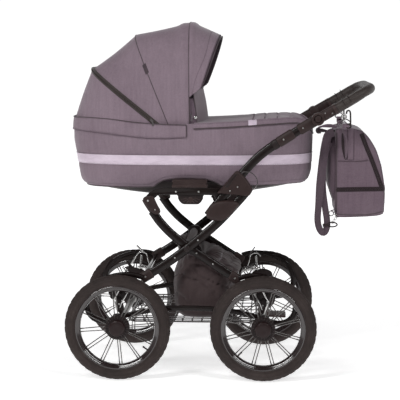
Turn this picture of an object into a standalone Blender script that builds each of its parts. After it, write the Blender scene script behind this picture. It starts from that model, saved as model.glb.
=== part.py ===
"""Retro pram: sprung chassis on four spoked wheels, crossed-leg frame, lift-off
carrycot with folding hood, tilting push handle and a hanging changing bag.
Metres, +Z up, travel along -X, the push handle at +X, left side at -Y."""
import math
import bpy
import bmesh
from mathutils import Matrix, Vector

# ---------------------------------------------------------------- dimensions
X0 = -0.1127            # moves the drawing frame to the middle of the footprint

WHEEL_R = 0.178         # 14 inch wheel
TYRE_IN = 0.139
TYRE_HALF = 0.021
WHEEL_X = 0.2436        # half the wheelbase
TRACK_HALF = 0.2725
WHEEL_SIDES = 28
SPOKE_LINES = 6         # six lines through the hub = twelve spokes
AXLE_R = 0.010
STUB_R = 0.0066
HUB_BORE_R = 0.0070

LEG_H = 0.015           # half height of the flat-oval leg tube
LEG_FLAT = 0.5          # width / height of the leg tube
Y_REAR_LEG = 0.206      # inner layer
Y_FRONT_LEG = 0.232     # outer layer
Y_BAR0, Y_BAR1 = 0.2150, 0.2205
Y_ARM = 0.245           # spring arm layer

CROSS = (-0.0130, 0.4400)      # scissor pivot (x, z)
FRONT_FOOT = (-0.1580, 0.3405)  # front leg pivot on the front spring arms
BAR_PIVOT = (-0.1463, 0.6000)  # seat bar pivot in the rear leg cap
HOOD = (-0.0510, 0.8350)       # hood pivot
TILT = (0.4192, 0.8741)        # push handle tilt hinge
BAG = (0.5120, 0.9050)         # bag hanging axis

COT_RIM_Z = 0.830
COT_WALL = 0.010

# ---------------------------------------------------------------- clean start
for ob in list(bpy.data.objects):
    bpy.data.objects.remove(ob, do_unlink=True)
PARTS = bpy.data.collections.new("retro_pram")
bpy.context.scene.collection.children.link(PARTS)
GUIDES = bpy.data.collections.new("guides")
bpy.context.scene.collection.children.link(GUIDES)


def material(name, color, rough, metal=0.0):
    m = bpy.data.materials.new(name)
    m.use_nodes = True
    b = m.node_tree.nodes["Principled BSDF"]
    b.inputs["Base Color"].default_value = (*color, 1.0)
    b.inputs["Roughness"].default_value = rough
    b.inputs["Metallic"].default_value = metal
    return m


LOOKS = {
    "mauve": ((0.150, 0.115, 0.140), 0.9, 0.0),
    "dark_fabric": ((0.035, 0.025, 0.026), 0.9, 0.0),
    "tube_black": ((0.010, 0.009, 0.009), 0.18, 0.3),
    "plastic": ((0.045, 0.036, 0.034), 0.5, 0.0),
    "tyre": ((0.040, 0.033, 0.031), 0.85, 0.0),
    "grip": ((0.030, 0.026, 0.026), 0.6, 0.0),
    "chrome": ((0.75, 0.75, 0.75), 0.2, 1.0),
    "pad": ((0.75, 0.73, 0.72), 0.9, 0.0),
}


def place(name, mesh, look, origin=(0.0, 0.0, 0.0), bevel=0.0, sharp=35.0):
    """Puts a mesh drawn in the drawing frame on its own object, whose origin
    is the given point (the joint axis of a moving piece)."""
    o = Vector(origin)
    mesh.name = name
    mesh.transform(Matrix.Translation(-o))
    mesh.materials.clear()
    c, r, m = LOOKS[look]
    mesh.materials.append(material(name + "_finish", c, r, m))
    ob = bpy.data.objects.new(name, mesh)
    ob.location = o + Vector((X0, 0.0, 0.0))
    PARTS.objects.link(ob)
    if bevel > 0.0:
        b = ob.modifiers.new("edge", "BEVEL")
        b.width = bevel
        b.segments = 1
        b.limit_method = "ANGLE"
        b.angle_limit = math.radians(50.0)
    mesh.shade_smooth()
    mesh.set_sharp_from_angle(angle=math.radians(sharp))
    return ob


def evaluated(ob):
    bpy.context.view_layer.update()
    dg = bpy.context.evaluated_depsgraph_get()
    me = bpy.data.meshes.new_from_object(ob.evaluated_get(dg))
    me.transform(ob.matrix_world)
    return me


def bake(ob):
    """Evaluated mesh of a temporary object, welded, faces pointing out."""
    me = evaluated(ob)
    bm = bmesh.new()
    bm.from_mesh(me)
    bmesh.ops.remove_doubles(bm, verts=bm.verts, dist=1e-5)
    bmesh.ops.dissolve_degenerate(bm, edges=bm.edges, dist=1e-6)
    bmesh.ops.recalc_face_normals(bm, faces=bm.faces)
    bm.to_mesh(me)
    bm.free()
    bpy.data.objects.remove(ob, do_unlink=True)
    return me


def temp(data, name="temp"):
    ob = bpy.data.objects.new(name, data)
    GUIDES.objects.link(ob)
    ob.hide_render = True
    ob.display_type = "WIRE"
    return ob


def smooth_path(pts, step):
    """Points along a Catmull-Rom curve through pts, about step apart."""
    p = [Vector(q) for q in pts]
    p = [p[0] * 2 - p[1]] + p + [p[-1] * 2 - p[-2]]
    out = []
    for i in range(1, len(p) - 2):
        n = max(1, int(round((p[i + 1] - p[i]).length / step)))
        for k in range(n):
            t = k / n
            a, b, c, d = p[i - 1], p[i], p[i + 1], p[i + 2]
            out.append(0.5 * ((2 * b) + (c - a) * t + (2 * a - 5 * b + 4 * c - d) * t * t
                              + (3 * b - a - 3 * c + d) * t ** 3))
    out.append(p[-2])
    return out


def tube_mesh(pts, radius, res=2, squash_y=None):
    """Capped tube along pts. squash_y = (layer, factor) flattens it about the
    plane y = layer, which makes the flat-oval leg tube."""
    cu = bpy.data.curves.new("tube", "CURVE")
    cu.dimensions = "3D"
    cu.bevel_depth = radius
    cu.bevel_resolution = res
    cu.use_fill_caps = True
    sp = cu.splines.new("POLY")
    sp.points.add(len(pts) - 1)
    for i, q in enumerate(pts):
        sp.points[i].co = (*q, 1.0)
    me = bake(temp(cu))
    if squash_y:
        layer, f = squash_y
        for v in me.vertices:
            v.co.y = layer + (v.co.y - layer) * f
    return me


def flat_tube(xz, layer, radius, flat=LEG_FLAT, step=0.022, res=2):
    pts = smooth_path([(x, layer, z) for x, z in xz], step)
    return tube_mesh(pts, radius, res, (layer, flat))


def plate_mesh(outlines, y0, y1):
    """Flat plate in the XZ plane: first outline is the edge, others are holes."""
    cu = bpy.data.curves.new("plate", "CURVE")
    cu.dimensions = "2D"
    cu.fill_mode = "BOTH"
    cu.extrude = abs(y1 - y0) / 2.0
    for line in outlines:
        sp = cu.splines.new("POLY")
        sp.points.add(len(line) - 1)
        for i, (x, z) in enumerate(line):
            sp.points[i].co = (x, z, 0.0, 1.0)
        sp.use_cyclic_u = True
    ob = temp(cu)
    ob.matrix_world = Matrix.Translation((0, (y0 + y1) / 2.0, 0)) @ Matrix.Rotation(math.pi / 2, 4, "X")
    return bake(ob)


def box_mesh(lo, hi):
    bm = bmesh.new()
    size = [hi[i] - lo[i] for i in range(3)]
    mid = [(hi[i] + lo[i]) / 2.0 for i in range(3)]
    bmesh.ops.create_cube(bm, size=1.0, matrix=Matrix.Translation(mid) @ Matrix.Diagonal((*size, 1.0)))
    me = bpy.data.meshes.new("box")
    bm.to_mesh(me)
    bm.free()
    return me


def rod_mesh(p0, p1, r, sides=12, turn=0.0):
    a, b = Vector(p0), Vector(p1)
    d = b - a
    bm = bmesh.new()
    rot = d.to_track_quat("Z", "Y").to_matrix().to_4x4()
    m = Matrix.Translation((a + b) / 2.0) @ rot @ Matrix.Rotation(turn, 4, "Z")
    bmesh.ops.create_cone(bm, cap_ends=True, segments=sides, radius1=r, radius2=r, depth=d.length, matrix=m)
    me = bpy.data.meshes.new("rod")
    bm.to_mesh(me)
    bm.free()
    return me


def ring_mesh(profile, steps, cx, cz, turn=0.0):
    """Turned ring about the Y line through (cx, cz): profile = closed loop of
    (radius, y), made with a Screw modifier."""
    me = bpy.data.meshes.new("ring")
    n = len(profile)
    me.from_pydata([(r, 0.0, y) for r, y in profile], [(i, (i + 1) % n) for i in range(n)], [])
    ob = temp(me)
    s = ob.modifiers.new("turn", "SCREW")
    s.axis = "Z"
    s.angle = 2 * math.pi
    s.steps = steps
    s.render_steps = steps
    s.use_merge_vertices = True
    s.merge_threshold = 0.00005
    s.use_normal_calculate = True
    # local Z becomes +Y
    ob.matrix_world = (Matrix.Translation((cx, 0, cz)) @ Matrix.Rotation(-math.pi / 2, 4, "X")
                       @ Matrix.Rotation(turn, 4, "Z"))
    return bake(ob)


def boolean(base, others, op="UNION"):
    ob = temp(base)
    tools = [temp(m) for m in others]
    for t in tools:
        b = ob.modifiers.new("b", "BOOLEAN")
        b.operation = op
        b.solver = "EXACT"
        b.object = t
    me = bake(ob)
    for t in tools:
        bpy.data.objects.remove(t, do_unlink=True)
    return me


def mirrored(mesh):
    """Copy for the other side of the pram (y -> -y), faces still out."""
    me = mesh.copy()
    me.transform(Matrix.Diagonal((1, -1, 1, 1)))
    me.flip_normals()
    return me


def pair(name, mesh, look, origin=(0, 0, 0), **kw):
    """mesh is drawn on the +Y side: _right there, _left mirrored at -Y."""
    left = mirrored(mesh)
    place(name + "_left", left, look, (origin[0], -origin[1], origin[2]), **kw)
    place(name + "_right", mesh, look, origin, **kw)


def band(path, half):
    """Closed outline of a strip of the given half thickness along path."""
    left, right = [], []
    for i, p in enumerate(path):
        a = Vector(path[max(0, i - 1)])
        b = Vector(path[min(len(path) - 1, i + 1)])
        t = (b - a).normalized()
        n = Vector((-t.y, t.x)) * half
        left.append((p[0] + n.x, p[1] + n.y))
        right.append((p[0] - n.x, p[1] - n.y))
    return left + right[::-1]


def arc(cx, cz, r, a0, a1, n):
    return [(cx + r * math.cos(math.radians(a0 + (a1 - a0) * i / n)),
             cz + r * math.sin(math.radians(a0 + (a1 - a0) * i / n))) for i in range(n + 1)]


def loft_rings(rings, cap_first=True, cap_last=True):
    """Closed body through rings of equal point count (unlike sections)."""
    bm = bmesh.new()
    rows = [[bm.verts.new(p) for p in r] for r in rings]
    n = len(rows[0])
    for a, b in zip(rows, rows[1:]):
        for i in range(n):
            j = (i + 1) % n
            bm.faces.new((a[i], a[j], b[j], b[i]))
    if cap_first:
        bm.faces.new(rows[0][::-1])
    if cap_last:
        bm.faces.new(rows[-1])
    bmesh.ops.recalc_face_normals(bm, faces=bm.faces)
    me = bpy.data.meshes.new("loft")
    bm.to_mesh(me)
    bm.free()
    return me


def oval(x_lo, x_hi, half, z, power=3.2, n=32, x_clip=None):
    """Rounded-rectangle ring in plan (superellipse)."""
    cx, a = (x_lo + x_hi) / 2.0, (x_hi - x_lo) / 2.0
    out = []
    for i in range(n):
        t = 2 * math.pi * (i + 0.5) / n
        c, s = math.cos(t), math.sin(t)
        x = cx + a * math.copysign(abs(c) ** (2.0 / power), c)
        y = half * math.copysign(abs(s) ** (2.0 / power), s)
        if x_clip is not None and x < x_clip:
            x = x_clip
        out.append((x, y, z))
    return out


# ---------------------------------------------------------------- wheels
half_step = math.pi / WHEEL_SIDES
r_poly = WHEEL_R / math.cos(half_step)          # facets touch the ground
tyre_profile = [(TYRE_IN, -0.013), (0.150, -TYRE_HALF), (0.166, -TYRE_HALF + 0.001),
                (r_poly, -0.009), (r_poly, 0.009), (0.166, TYRE_HALF - 0.001),
                (0.150, TYRE_HALF), (TYRE_IN, 0.013)]
rim_out = TYRE_IN - 0.0006
rim_profile = [(0.1275, -0.0125), (rim_out, -0.0125), (rim_out, 0.0125), (0.1275, 0.0125)]


def tyre_body():
    return ring_mesh(tyre_profile, WHEEL_SIDES, 0, 0, half_step)


def wheel_body():
    """Rim, twelve spokes, flanged hub and cap in one; outer side at +Y."""
    ring = ring_mesh(rim_profile, WHEEL_SIDES, 0, 0, half_step)
    hub = rod_mesh((0, -0.0195, 0), (0, 0.012, 0), 0.020, 12)
    flange = rod_mesh((0, -0.006, 0), (0, 0.009, 0), 0.040, 16)
    cap = rod_mesh((0, 0.004, 0), (0, 0.026, 0), 0.029, 16)
    lines = []
    for k in range(SPOKE_LINES):
        b = box_mesh((-0.1315, -0.002, -0.0050), (0.1315, 0.002, 0.0050))
        b.transform(Matrix.Rotation(math.radians(15 + 30 * k), 4, "Y"))
        lines.append(b)
    solid = boolean(ring, [flange, hub, cap] + lines, "UNION")
    bore = rod_mesh((0, -0.030, 0), (0, 0.0095, 0), HUB_BORE_R, 12)
    return boolean(solid, [bore], "DIFFERENCE")


wheel_mesh = wheel_body()
tyre_mesh = tyre_body()
for end, sx in (("front", -1), ("rear", 1)):
    for side, sy in (("left", -1), ("right", 1)):
        at = (sx * WHEEL_X, sy * TRACK_HALF, WHEEL_R)
        for nm, src, look in (("tyre", tyre_mesh, "tyre"), ("wheel", wheel_mesh, "tube_black")):
            me = mirrored(src) if sy < 0 else src.copy()
            me.transform(Matrix.Translation(at))
            place("%s_%s_%s" % (nm, end, side), me, look, at, sharp=40)

# ---------------------------------------------------------------- running gear
rail_xz = [(-0.2536, 0.2027), (-0.213, 0.2105), (-0.172, 0.2205), (-0.125, 0.2290), (-0.070, 0.2345),
           (0.0, 0.2362), (0.070, 0.2345), (0.125, 0.2290), (0.172, 0.2205), (0.213, 0.2105), (0.2536, 0.2027)]
frame_bits = []
for sy in (-1, 1):
    frame_bits.append(flat_tube(rail_xz, sy * 0.2255, 0.009, 0.4, step=0.06, res=1))
    for sx in (-1, 1):
        outline = [(sx * WHEEL_X + dx, z) for dx, z in
                   ((-0.018, 0.196), (-0.010, 0.163), (0.010, 0.163), (0.018, 0.196), (0.016, 0.214), (-0.016, 0.214))]
        y0, y1 = sorted((sy * 0.2270, sy * 0.2385))
        frame_bits.append(plate_mesh([outline], y0, y1))
for sx in (-1, 1):
    frame_bits.append(rod_mesh((sx * WHEEL_X, -0.2310, WHEEL_R), (sx * WHEEL_X, 0.2310, WHEEL_R), AXLE_R, 10, 0.2))
    frame_bits.append(rod_mesh((sx * WHEEL_X, -0.2805, WHEEL_R), (sx * WHEEL_X, 0.2805, WHEEL_R), STUB_R, 12))
place("axle_frame", boolean(frame_bits[0], frame_bits[1:], "UNION"), "tube_black")

# wire tray under the basket, hung between the rails
nx, ny, margin, gap = 6, 4, 0.012, 0.008
rx0, rx1, ry = -0.205, 0.215, 0.2180
cells = [[(rx0, -ry), (rx1, -ry), (rx1, ry), (rx0, ry)]]
wx = (rx1 - rx0 - 2 * margin - (nx - 1) * gap) / nx
wy = (2 * ry - 2 * margin - (ny - 1) * gap) / ny
for i in range(nx):
    for j in range(ny):
        x = rx0 + margin + i * (wx + gap)
        y = -ry + margin + j * (wy + gap)
        cells.append([(x, y), (x, y + wy), (x + wx, y + wy), (x + wx, y)])
tray = plate_mesh(cells, -0.002, 0.002)
tray.transform(Matrix.Translation((0, 0, 0.188)) @ Matrix.Rotation(-math.pi / 2, 4, "X"))
place("wire_tray", tray, "chrome")

# brake pedal on the rear axle
pedal = plate_mesh([arc(WHEEL_X, WHEEL_R, 0.0185, -100, 100, 6)
                    + [(WHEEL_X, WHEEL_R + 0.0112)] + arc(WHEEL_X, WHEEL_R, 0.0108, 90, -90, 6)], -0.045, 0.045)
pedal = boolean(pedal, [box_mesh((WHEEL_X + 0.0150, -0.040, 0.170), (WHEEL_X + 0.075, 0.040, 0.178))], "UNION")
place("brake_pedal", pedal, "plastic", (WHEEL_X, 0, WHEEL_R))

# fabric basket: lower tub and the upper fabric that folds with the frame
bk = dict(power=4.0, n=20)
basket = [oval(-0.060, 0.130, 0.165, 0.1915, **bk), oval(-0.074, 0.141, 0.180, 0.204, **bk),
          oval(-0.076, 0.144, 0.185, 0.260, **bk), oval(-0.070, 0.145, 0.186, 0.325, **bk),
          oval(-0.065, 0.140, 0.181, 0.325, **bk), oval(-0.071, 0.139, 0.180, 0.262, **bk),
          oval(-0.067, 0.135, 0.174, 0.208, **bk), oval(-0.055, 0.125, 0.160, 0.1965, **bk)]
place("basket", loft_rings(basket), "dark_fabric")
skirt = [oval(-0.070, 0.145, 0.186, 0.3255, **bk), oval(-0.055, 0.164, 0.186, 0.365, **bk),
         oval(-0.035, 0.145, 0.184, 0.410, **bk), oval(-0.031, 0.141, 0.180, 0.410, **bk),
         oval(-0.051, 0.160, 0.182, 0.365, **bk), oval(-0.066, 0.141, 0.182, 0.3255, **bk)]
place("basket_top", loft_rings(skirt + [skirt[0]], False, False), "dark_fabric")

# ---------------------------------------------------------------- spring arms
arm_xz = [(0.160, 0.343), (0.190, 0.351), (0.227, 0.352), (0.271, 0.343), (0.317, 0.320),
          (0.344, 0.281), (0.349, 0.235), (0.330, 0.204), (0.298, 0.192), (0.266, 0.198)]
for end, sx in (("front", -1), ("rear", 1)):
    arm = flat_tube([(sx * x, z) for x, z in arm_xz], Y_ARM, 0.009, 0.5, step=0.030, res=1)
    pair("spring_arm_" + end, arm, "tube_black", (sx * 0.160, Y_ARM, 0.343))
    turns, per = 6, 6
    coil = []
    for i in range(turns * per + 1):
        t = 2 * math.pi * i / per
        u = i / (turns * per)
        coil.append((sx * (0.168 + 0.050 * u), 0.2300 + 0.0085 * math.cos(t), 0.291 + 0.007 * u + 0.0085 * math.sin(t)))
    pair("coil_spring_" + end, tube_mesh(coil, 0.0016, 0), "chrome", (sx * 0.168, 0.23, 0.291))
fx, fz = FRONT_FOOT
place("front_cross_tube", rod_mesh((fx, -0.2235, fz), (fx, 0.2235, fz), 0.0085, 12), "tube_black", (fx, 0, fz))
place("rear_cross_tube", rod_mesh((0.1560, -0.2390, 0.3050), (0.1560, 0.2390, 0.3050), 0.008, 12), "tube_black",
      (0.1560, 0, 0.3050))

# ---------------------------------------------------------------- front legs (they carry the handle)
front_xz = [(-0.1580, 0.3405), (-0.1034, 0.3745), (-0.0529, 0.4090), (-0.0130, 0.4395), (0.0242, 0.4695),
            (0.0593, 0.4995), (0.1026, 0.5400), (0.1507, 0.5926), (0.1722, 0.6170), (0.1880, 0.6365)]
pair("front_leg", flat_tube(front_xz, Y_FRONT_LEG, LEG_H), "tube_black", (fx, Y_FRONT_LEG, fz))
cx, cz = CROSS
pivot = boolean(rod_mesh((cx, -0.1975, cz), (cx, 0.1975, cz), 0.0105, 12),
                [rod_mesh((cx, -0.2240, cz), (cx, 0.2240, cz), 0.0045, 8)], "UNION")
place("pivot_tube", pivot, "tube_black", (cx, 0, cz))

cover = [(0.0518, 0.5624), (0.0600, 0.5750), (0.0750, 0.5860), (0.1048, 0.5912), (0.1390, 0.5910), (0.1560, 0.5850),
         (0.1578, 0.5780), (0.1314, 0.5530), (0.1049, 0.5361), (0.0880, 0.5350), (0.0718, 0.5375), (0.0560, 0.5460)]
pair("fold_cover", plate_mesh([cover], 0.2402, 0.2495), "plastic", (0.058, 0.245, 0.552), bevel=0.003)

handle_xz = [(0.0580, 0.5520), (0.0676, 0.5655), (0.0942, 0.5985), (0.1240, 0.6342), (0.1537, 0.6710),
             (0.1834, 0.7060), (0.2098, 0.7346), (0.2361, 0.7585), (0.2656, 0.7808), (0.2951, 0.7996),
             (0.3328, 0.8228), (0.3606, 0.8394), (0.3860, 0.8545), (0.3995, 0.8626)]
tx, tz = TILT
knuckle = plate_mesh([[(tx - 0.0350 + 0.0066, tz - 0.0210 - 0.0110), (tx - 0.0350 - 0.0066, tz - 0.0210 + 0.0110)]
                      + arc(tx, tz, 0.0195, 121 + 5, 121 - 185, 10)], 0.2250, 0.2338)
pair("handle_tube", boolean(flat_tube(handle_xz, Y_FRONT_LEG, LEG_H), [knuckle], "UNION"), "tube_black",
     (0.058, Y_FRONT_LEG, 0.552))

# sleeve that locks the handle tube to the leg tube; it slides up the tube
sleeve = [(0.0900, 0.6290), (0.1370, 0.6865), (0.1500, 0.6985), (0.1667, 0.6946), (0.1789, 0.6831),
          (0.1985, 0.6545), (0.2055, 0.6395), (0.1975, 0.6240), (0.1875, 0.6195)]
body = plate_mesh([sleeve], 0.2218, 0.2492)
cut1 = flat_tube(handle_xz[2:8], Y_FRONT_LEG, 0.0170, 0.5, step=0.02)
cut2 = flat_tube([(0.1307, 0.5708), (0.1507, 0.5926), (0.1722, 0.6170), (0.1915, 0.6410)], Y_FRONT_LEG, 0.0170, 0.5,
                 step=0.02)
pair("lock_sleeve", boolean(body, [cut1, cut2], "DIFFERENCE"), "plastic", (0.1537, Y_FRONT_LEG, 0.671))

# ---------------------------------------------------------------- rear legs
rear_xz = [(-0.1180, 0.5435), (-0.1045, 0.5250), (-0.0744, 0.4925), (-0.0374, 0.4610), (-0.0130, 0.4420),
           (0.0180, 0.4215), (0.0735, 0.3852), (0.1200, 0.3547), (0.1580, 0.3300)]
leg = flat_tube(rear_xz, Y_REAR_LEG, LEG_H)
leg = boolean(leg, [rod_mesh((cx, 0.18, cz), (cx, 0.23, cz), 0.0053, 8)], "DIFFERENCE")
pair("rear_leg", leg, "tube_black", (cx, Y_REAR_LEG, cz))
cap_xz = [(-0.1490, 0.6090), (-0.1420, 0.5900), (-0.1310, 0.5650), (-0.1188, 0.5450)]
pair("rear_leg_cap", flat_tube(cap_xz, Y_REAR_LEG, 0.0180, 0.47, step=0.02), "plastic", (BAR_PIVOT[0], Y_REAR_LEG, BAR_PIVOT[1]))

# ---------------------------------------------------------------- seat frame: bars that carry the cot
bar = ([(-0.1585, 0.6000), (-0.1560, 0.5915), (-0.1463, 0.5870), (-0.1370, 0.5905), (-0.1110, 0.6168), (0.0780, 0.6170),
        (0.0860, 0.5870), (0.0920, 0.5800), (0.1040, 0.5800), (0.1090, 0.5870), (0.1110, 0.6380), (0.1040, 0.6425),
        (-0.1070, 0.6425), (-0.1500, 0.6150)])
bars = plate_mesh([bar], Y_BAR0, Y_BAR1)
seat = boolean(bars, [mirrored(bars), rod_mesh((0.0980, -0.2180, 0.5895), (0.0980, 0.2180, 0.5895), 0.0070, 10)], "UNION")
place("seat_frame", seat, "tube_black", (BAR_PIVOT[0], 0, BAR_PIVOT[1]))
lever = [(-0.0450, 0.6280), (-0.0450, 0.6130)] + arc(-0.002, 0.6130, 0.0430, 195, 345, 8) + [(0.0410, 0.6130), (0.0410, 0.6280)]
lever = [(x, max(z, 0.5855)) for x, z in lever]
lever_out = []
for q in lever:
    if not lever_out or (abs(q[0] - lever_out[-1][0]) + abs(q[1] - lever_out[-1][1])) > 0.0015:
        lever_out.append(q)
pair("latch_lever", plate_mesh([lever_out], 0.2000, 0.2142), "plastic", (-0.002, 0.207, 0.62), bevel=0.0015)

# ---------------------------------------------------------------- carrycot
levels = [(-0.372, 0.366, 0.166, 0.6405), (-0.387, 0.386, 0.178, 0.655), (-0.3955, 0.4000, 0.188, 0.690),
          (-0.4040, 0.4035, 0.194, 0.740), (-0.4115, 0.4045, 0.198, 0.790), (-0.4130, 0.4045, 0.200, COT_RIM_Z)]
rings = [oval(a, b, h, z) for a, b, h, z in levels]
w = COT_WALL
inner = [oval(a + w, b - w, h - w, z) for a, b, h, z in levels[::-1]]
inner[-1] = oval(-0.372 + w, 0.366 - w, 0.166 - w, 0.6545)
inner[-2] = oval(-0.385 + w, 0.384 - w, 0.176 - w, 0.662)
place("cot_tub", loft_rings(rings + inner), "mauve")
base = [oval(-0.300, 0.292, 0.118, 0.6000), oval(-0.335, 0.327, 0.143, 0.6120), oval(-0.366, 0.360, 0.160, 0.6400)]
place("cot_base", loft_rings(base), "plastic")
pad = [oval(-0.350, 0.345, 0.148, 0.6550, n=24), oval(-0.360, 0.358, 0.156, 0.672, n=24),
       oval(-0.360, 0.360, 0.158, 0.695, n=24), oval(-0.350, 0.350, 0.150, 0.708, n=24)]
place("mattress", loft_rings(pad), "pad")
apron = [oval(-0.4125, 0.4040, 0.1990, 0.8305, n=32, x_clip=0.0), oval(-0.4125, 0.4060, 0.2000, 0.8560, n=32, x_clip=0.0),
         oval(-0.400, 0.3920, 0.1880, 0.8740, n=32, x_clip=0.0), oval(-0.350, 0.345, 0.150, 0.8800, n=32, x_clip=0.0)]
place("apron", boolean(loft_rings(apron), [box_mesh((-0.6, -0.3, 0.8), (0.0020, 0.3, 0.9))], "DIFFERENCE"), "mauve")
pair("cot_adapter", box_mesh((-0.0640, 0.1850, 0.6430), (0.0550, 0.2225, 0.6700)), "plastic", (0, 0.205, 0.66),
     bevel=0.003)


# ---------------------------------------------------------------- hood
def bow_profile(r, half, corner, r_in, n=4):
    """Arch in the plane that holds the hinge line: (radius, y) points."""
    p = [(r_in, -half)]
    p += [(r - corner + corner * math.sin(math.pi / 2 * k / n), -half + corner - corner * math.cos(math.pi / 2 * k / n))
          for k in range(n + 1)]
    p += [(a, -b) for a, b in p[::-1]]
    return p


def on_plane(r, y, deg):
    t = math.radians(deg)
    return (HOOD[0] + r * math.cos(t), y, HOOD[1] + r * math.sin(t))


def hood_shell(name, r, half, corner, a0, a1, steps, r_in=0.014):
    """Open swept sheet about the hinge line, made solid inward."""
    bm = bmesh.new()
    prof = [bm.verts.new(on_plane(q, y, a0)) for q, y in bow_profile(r, half, corner, r_in)]
    edges = [bm.edges.new((a, b)) for a, b in zip(prof, prof[1:])]
    bmesh.ops.spin(bm, geom=prof + edges, angle=-math.radians(a1 - a0), steps=steps, axis=(0, 1, 0),
                   cent=(HOOD[0], 0, HOOD[1]), dvec=(0, 0, 0), use_duplicate=False)
    bmesh.ops.remove_doubles(bm, verts=bm.verts, dist=1e-5)
    bmesh.ops.recalc_face_normals(bm, faces=bm.faces)
    top = max(bm.faces, key=lambda f: (f.calc_center_median() - Vector((HOOD[0], 0, HOOD[1]))).length)
    if top.normal.dot(top.calc_center_median() - Vector((HOOD[0], 0, HOOD[1]))) < 0:
        bmesh.ops.reverse_faces(bm, faces=bm.faces)
    me = bpy.data.meshes.new(name)
    bm.to_mesh(me)
    bm.free()
    ob = temp(me)
    s = ob.modifiers.new("wall", "SOLIDIFY")
    s.thickness = 0.003
    s.offset = -1.0
    s.use_even_offset = True
    place(name, bake(ob), "mauve", (HOOD[0], 0, HOOD[1]))


hood_shell("hood_rear", 0.3720, 0.2000, 0.085, 149.0, 177.2, 4)
hood_shell("hood_mid", 0.3665, 0.1960, 0.081, 117.5, 149.8, 4)
hood_shell("hood_front", 0.3610, 0.1920, 0.077, 86.0, 118.2, 4)
hood_shell("hood_visor", 0.3610, 0.1920, 0.077, 64.0, 85.7, 3, r_in=0.120)


def bow(name, r, half, corner, deg):
    pts = [on_plane(q, y, deg) for q, y in bow_profile(r, half, corner, 0.016, 4)]
    place(name, tube_mesh(pts, 0.0032, 1), "tube_black", (HOOD[0], 0, HOOD[1]))


bow("bow_mid", 0.3520, 0.1845, 0.073, 119.0)
bow("bow_front", 0.3435, 0.1760, 0.065, 87.5)

# ---------------------------------------------------------------- push handle
u = Vector((0.5716 - 0.4192, 0.9629 - 0.8741)).normalized()
n = Vector((-u.y, u.x))


def along(d, off=0.0):
    q = Vector(TILT) + u * d + n * off
    return (q.x, q.y)


disc = [along(0.036, -0.010), along(0.036, 0.010)] + [
    (tx + 0.0195 * math.cos(t), tz + 0.0195 * math.sin(t))
    for t in [math.atan2(u.y, u.x) + math.radians(40 + 280 * k / 12) for k in range(13)]]
arm_plate = plate_mesh([disc], 0.2345, 0.2440)
a0, a1 = along(0.0240), along(0.0640)
arm_rod = rod_mesh((a0[0], 0.2392, a0[1]), (a1[0], 0.2392, a1[1]), 0.0115, 12)
arm_mesh = boolean(arm_plate, [arm_rod], "UNION")
arm_mesh = boolean(arm_mesh, [rod_mesh((tx, 0.2405, tz), (tx, 0.2500, tz), 0.0126, 16)], "DIFFERENCE")
pair("handle_arm", arm_mesh, "plastic", (tx, 0.2392, tz))
g0 = along(0.0643)
grip = [(g0[0], -0.2392, g0[1]), (0.5100, -0.2392, 0.9270), (0.5450, -0.2370, 0.9475), (0.5750, -0.2250, 0.9610),
        (0.5940, -0.1950, 0.9670), (0.6015, -0.1500, 0.9690), (0.6015, -0.05, 0.9690)]
grip = grip + [(x, -y, z) for x, y, z in grip[::-1]]
place("handle_grip", tube_mesh(smooth_path(grip, 0.030), 0.0165, 2), "grip", (tx, 0, tz))
pair("tilt_button", rod_mesh((tx, 0.2442, tz), (tx, 0.2482, tz), 0.0120, 16), "plastic", (tx, 0.2442, tz))

# ---------------------------------------------------------------- changing bag
bag = [(0.4860, 0.8250), (0.4950, 0.8430), (0.5250, 0.8430), (0.5740, 0.8260), (0.6110, 0.7770), (0.6370, 0.7000),
       (0.6480, 0.6300), (0.6470, 0.5650), (0.6380, 0.5450), (0.5020, 0.5370), (0.4880, 0.5470)]
place("bag_body", plate_mesh([bag], -0.150, 0.150), "mauve", (BAG[0], 0, BAG[1]), bevel=0.014)
strap_path = smooth_path([(0.4760, 0.8180, 0), (0.4500, 0.8080, 0), (0.4330, 0.7700, 0), (0.4240, 0.7000, 0),
                          (0.4185, 0.6000, 0), (0.4230, 0.5050, 0), (0.4400, 0.4660, 0), (0.4560, 0.4760, 0),
                          (0.4640, 0.5300, 0), (0.4640, 0.6400, 0), (0.4700, 0.7600, 0)], 0.05)
strap = plate_mesh([band([(q.x, q.y) for q in strap_path], 0.0016)], -0.140, -0.105)
place("bag_strap", strap, "mauve", (BAG[0], 0, BAG[1]))
for side, sy in (("left", -1), ("right", 1)):
    y0, y1 = sorted((sy * 0.1520, sy * 0.2180))
    hook = plate_mesh([[(0.500, 0.822), (0.524, 0.822), (0.526, 0.8990), (0.512, 0.9120), (0.498, 0.8990)]],
                      *sorted((sy * 0.2060, sy * 0.2100)))
    tab = box_mesh((0.502, min(sy * 0.1515, sy * 0.2090), 0.822), (0.522, max(sy * 0.1515, sy * 0.2090), 0.826))
    place("bag_hook_" + side, boolean(hook, [tab], "UNION"), "chrome", (BAG[0], sy * 0.208, BAG[1]))

for ob in list(GUIDES.objects):
    bpy.data.objects.remove(ob, do_unlink=True)
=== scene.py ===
"""Looks of the retro pram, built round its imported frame. Lengths are in metres.
Points are drawn with x = 0 midway between the wheels and moved by X0 on creation."""
import math
import bpy
import bmesh
import numpy as np
from mathutils import Matrix, Vector, noise


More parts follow.
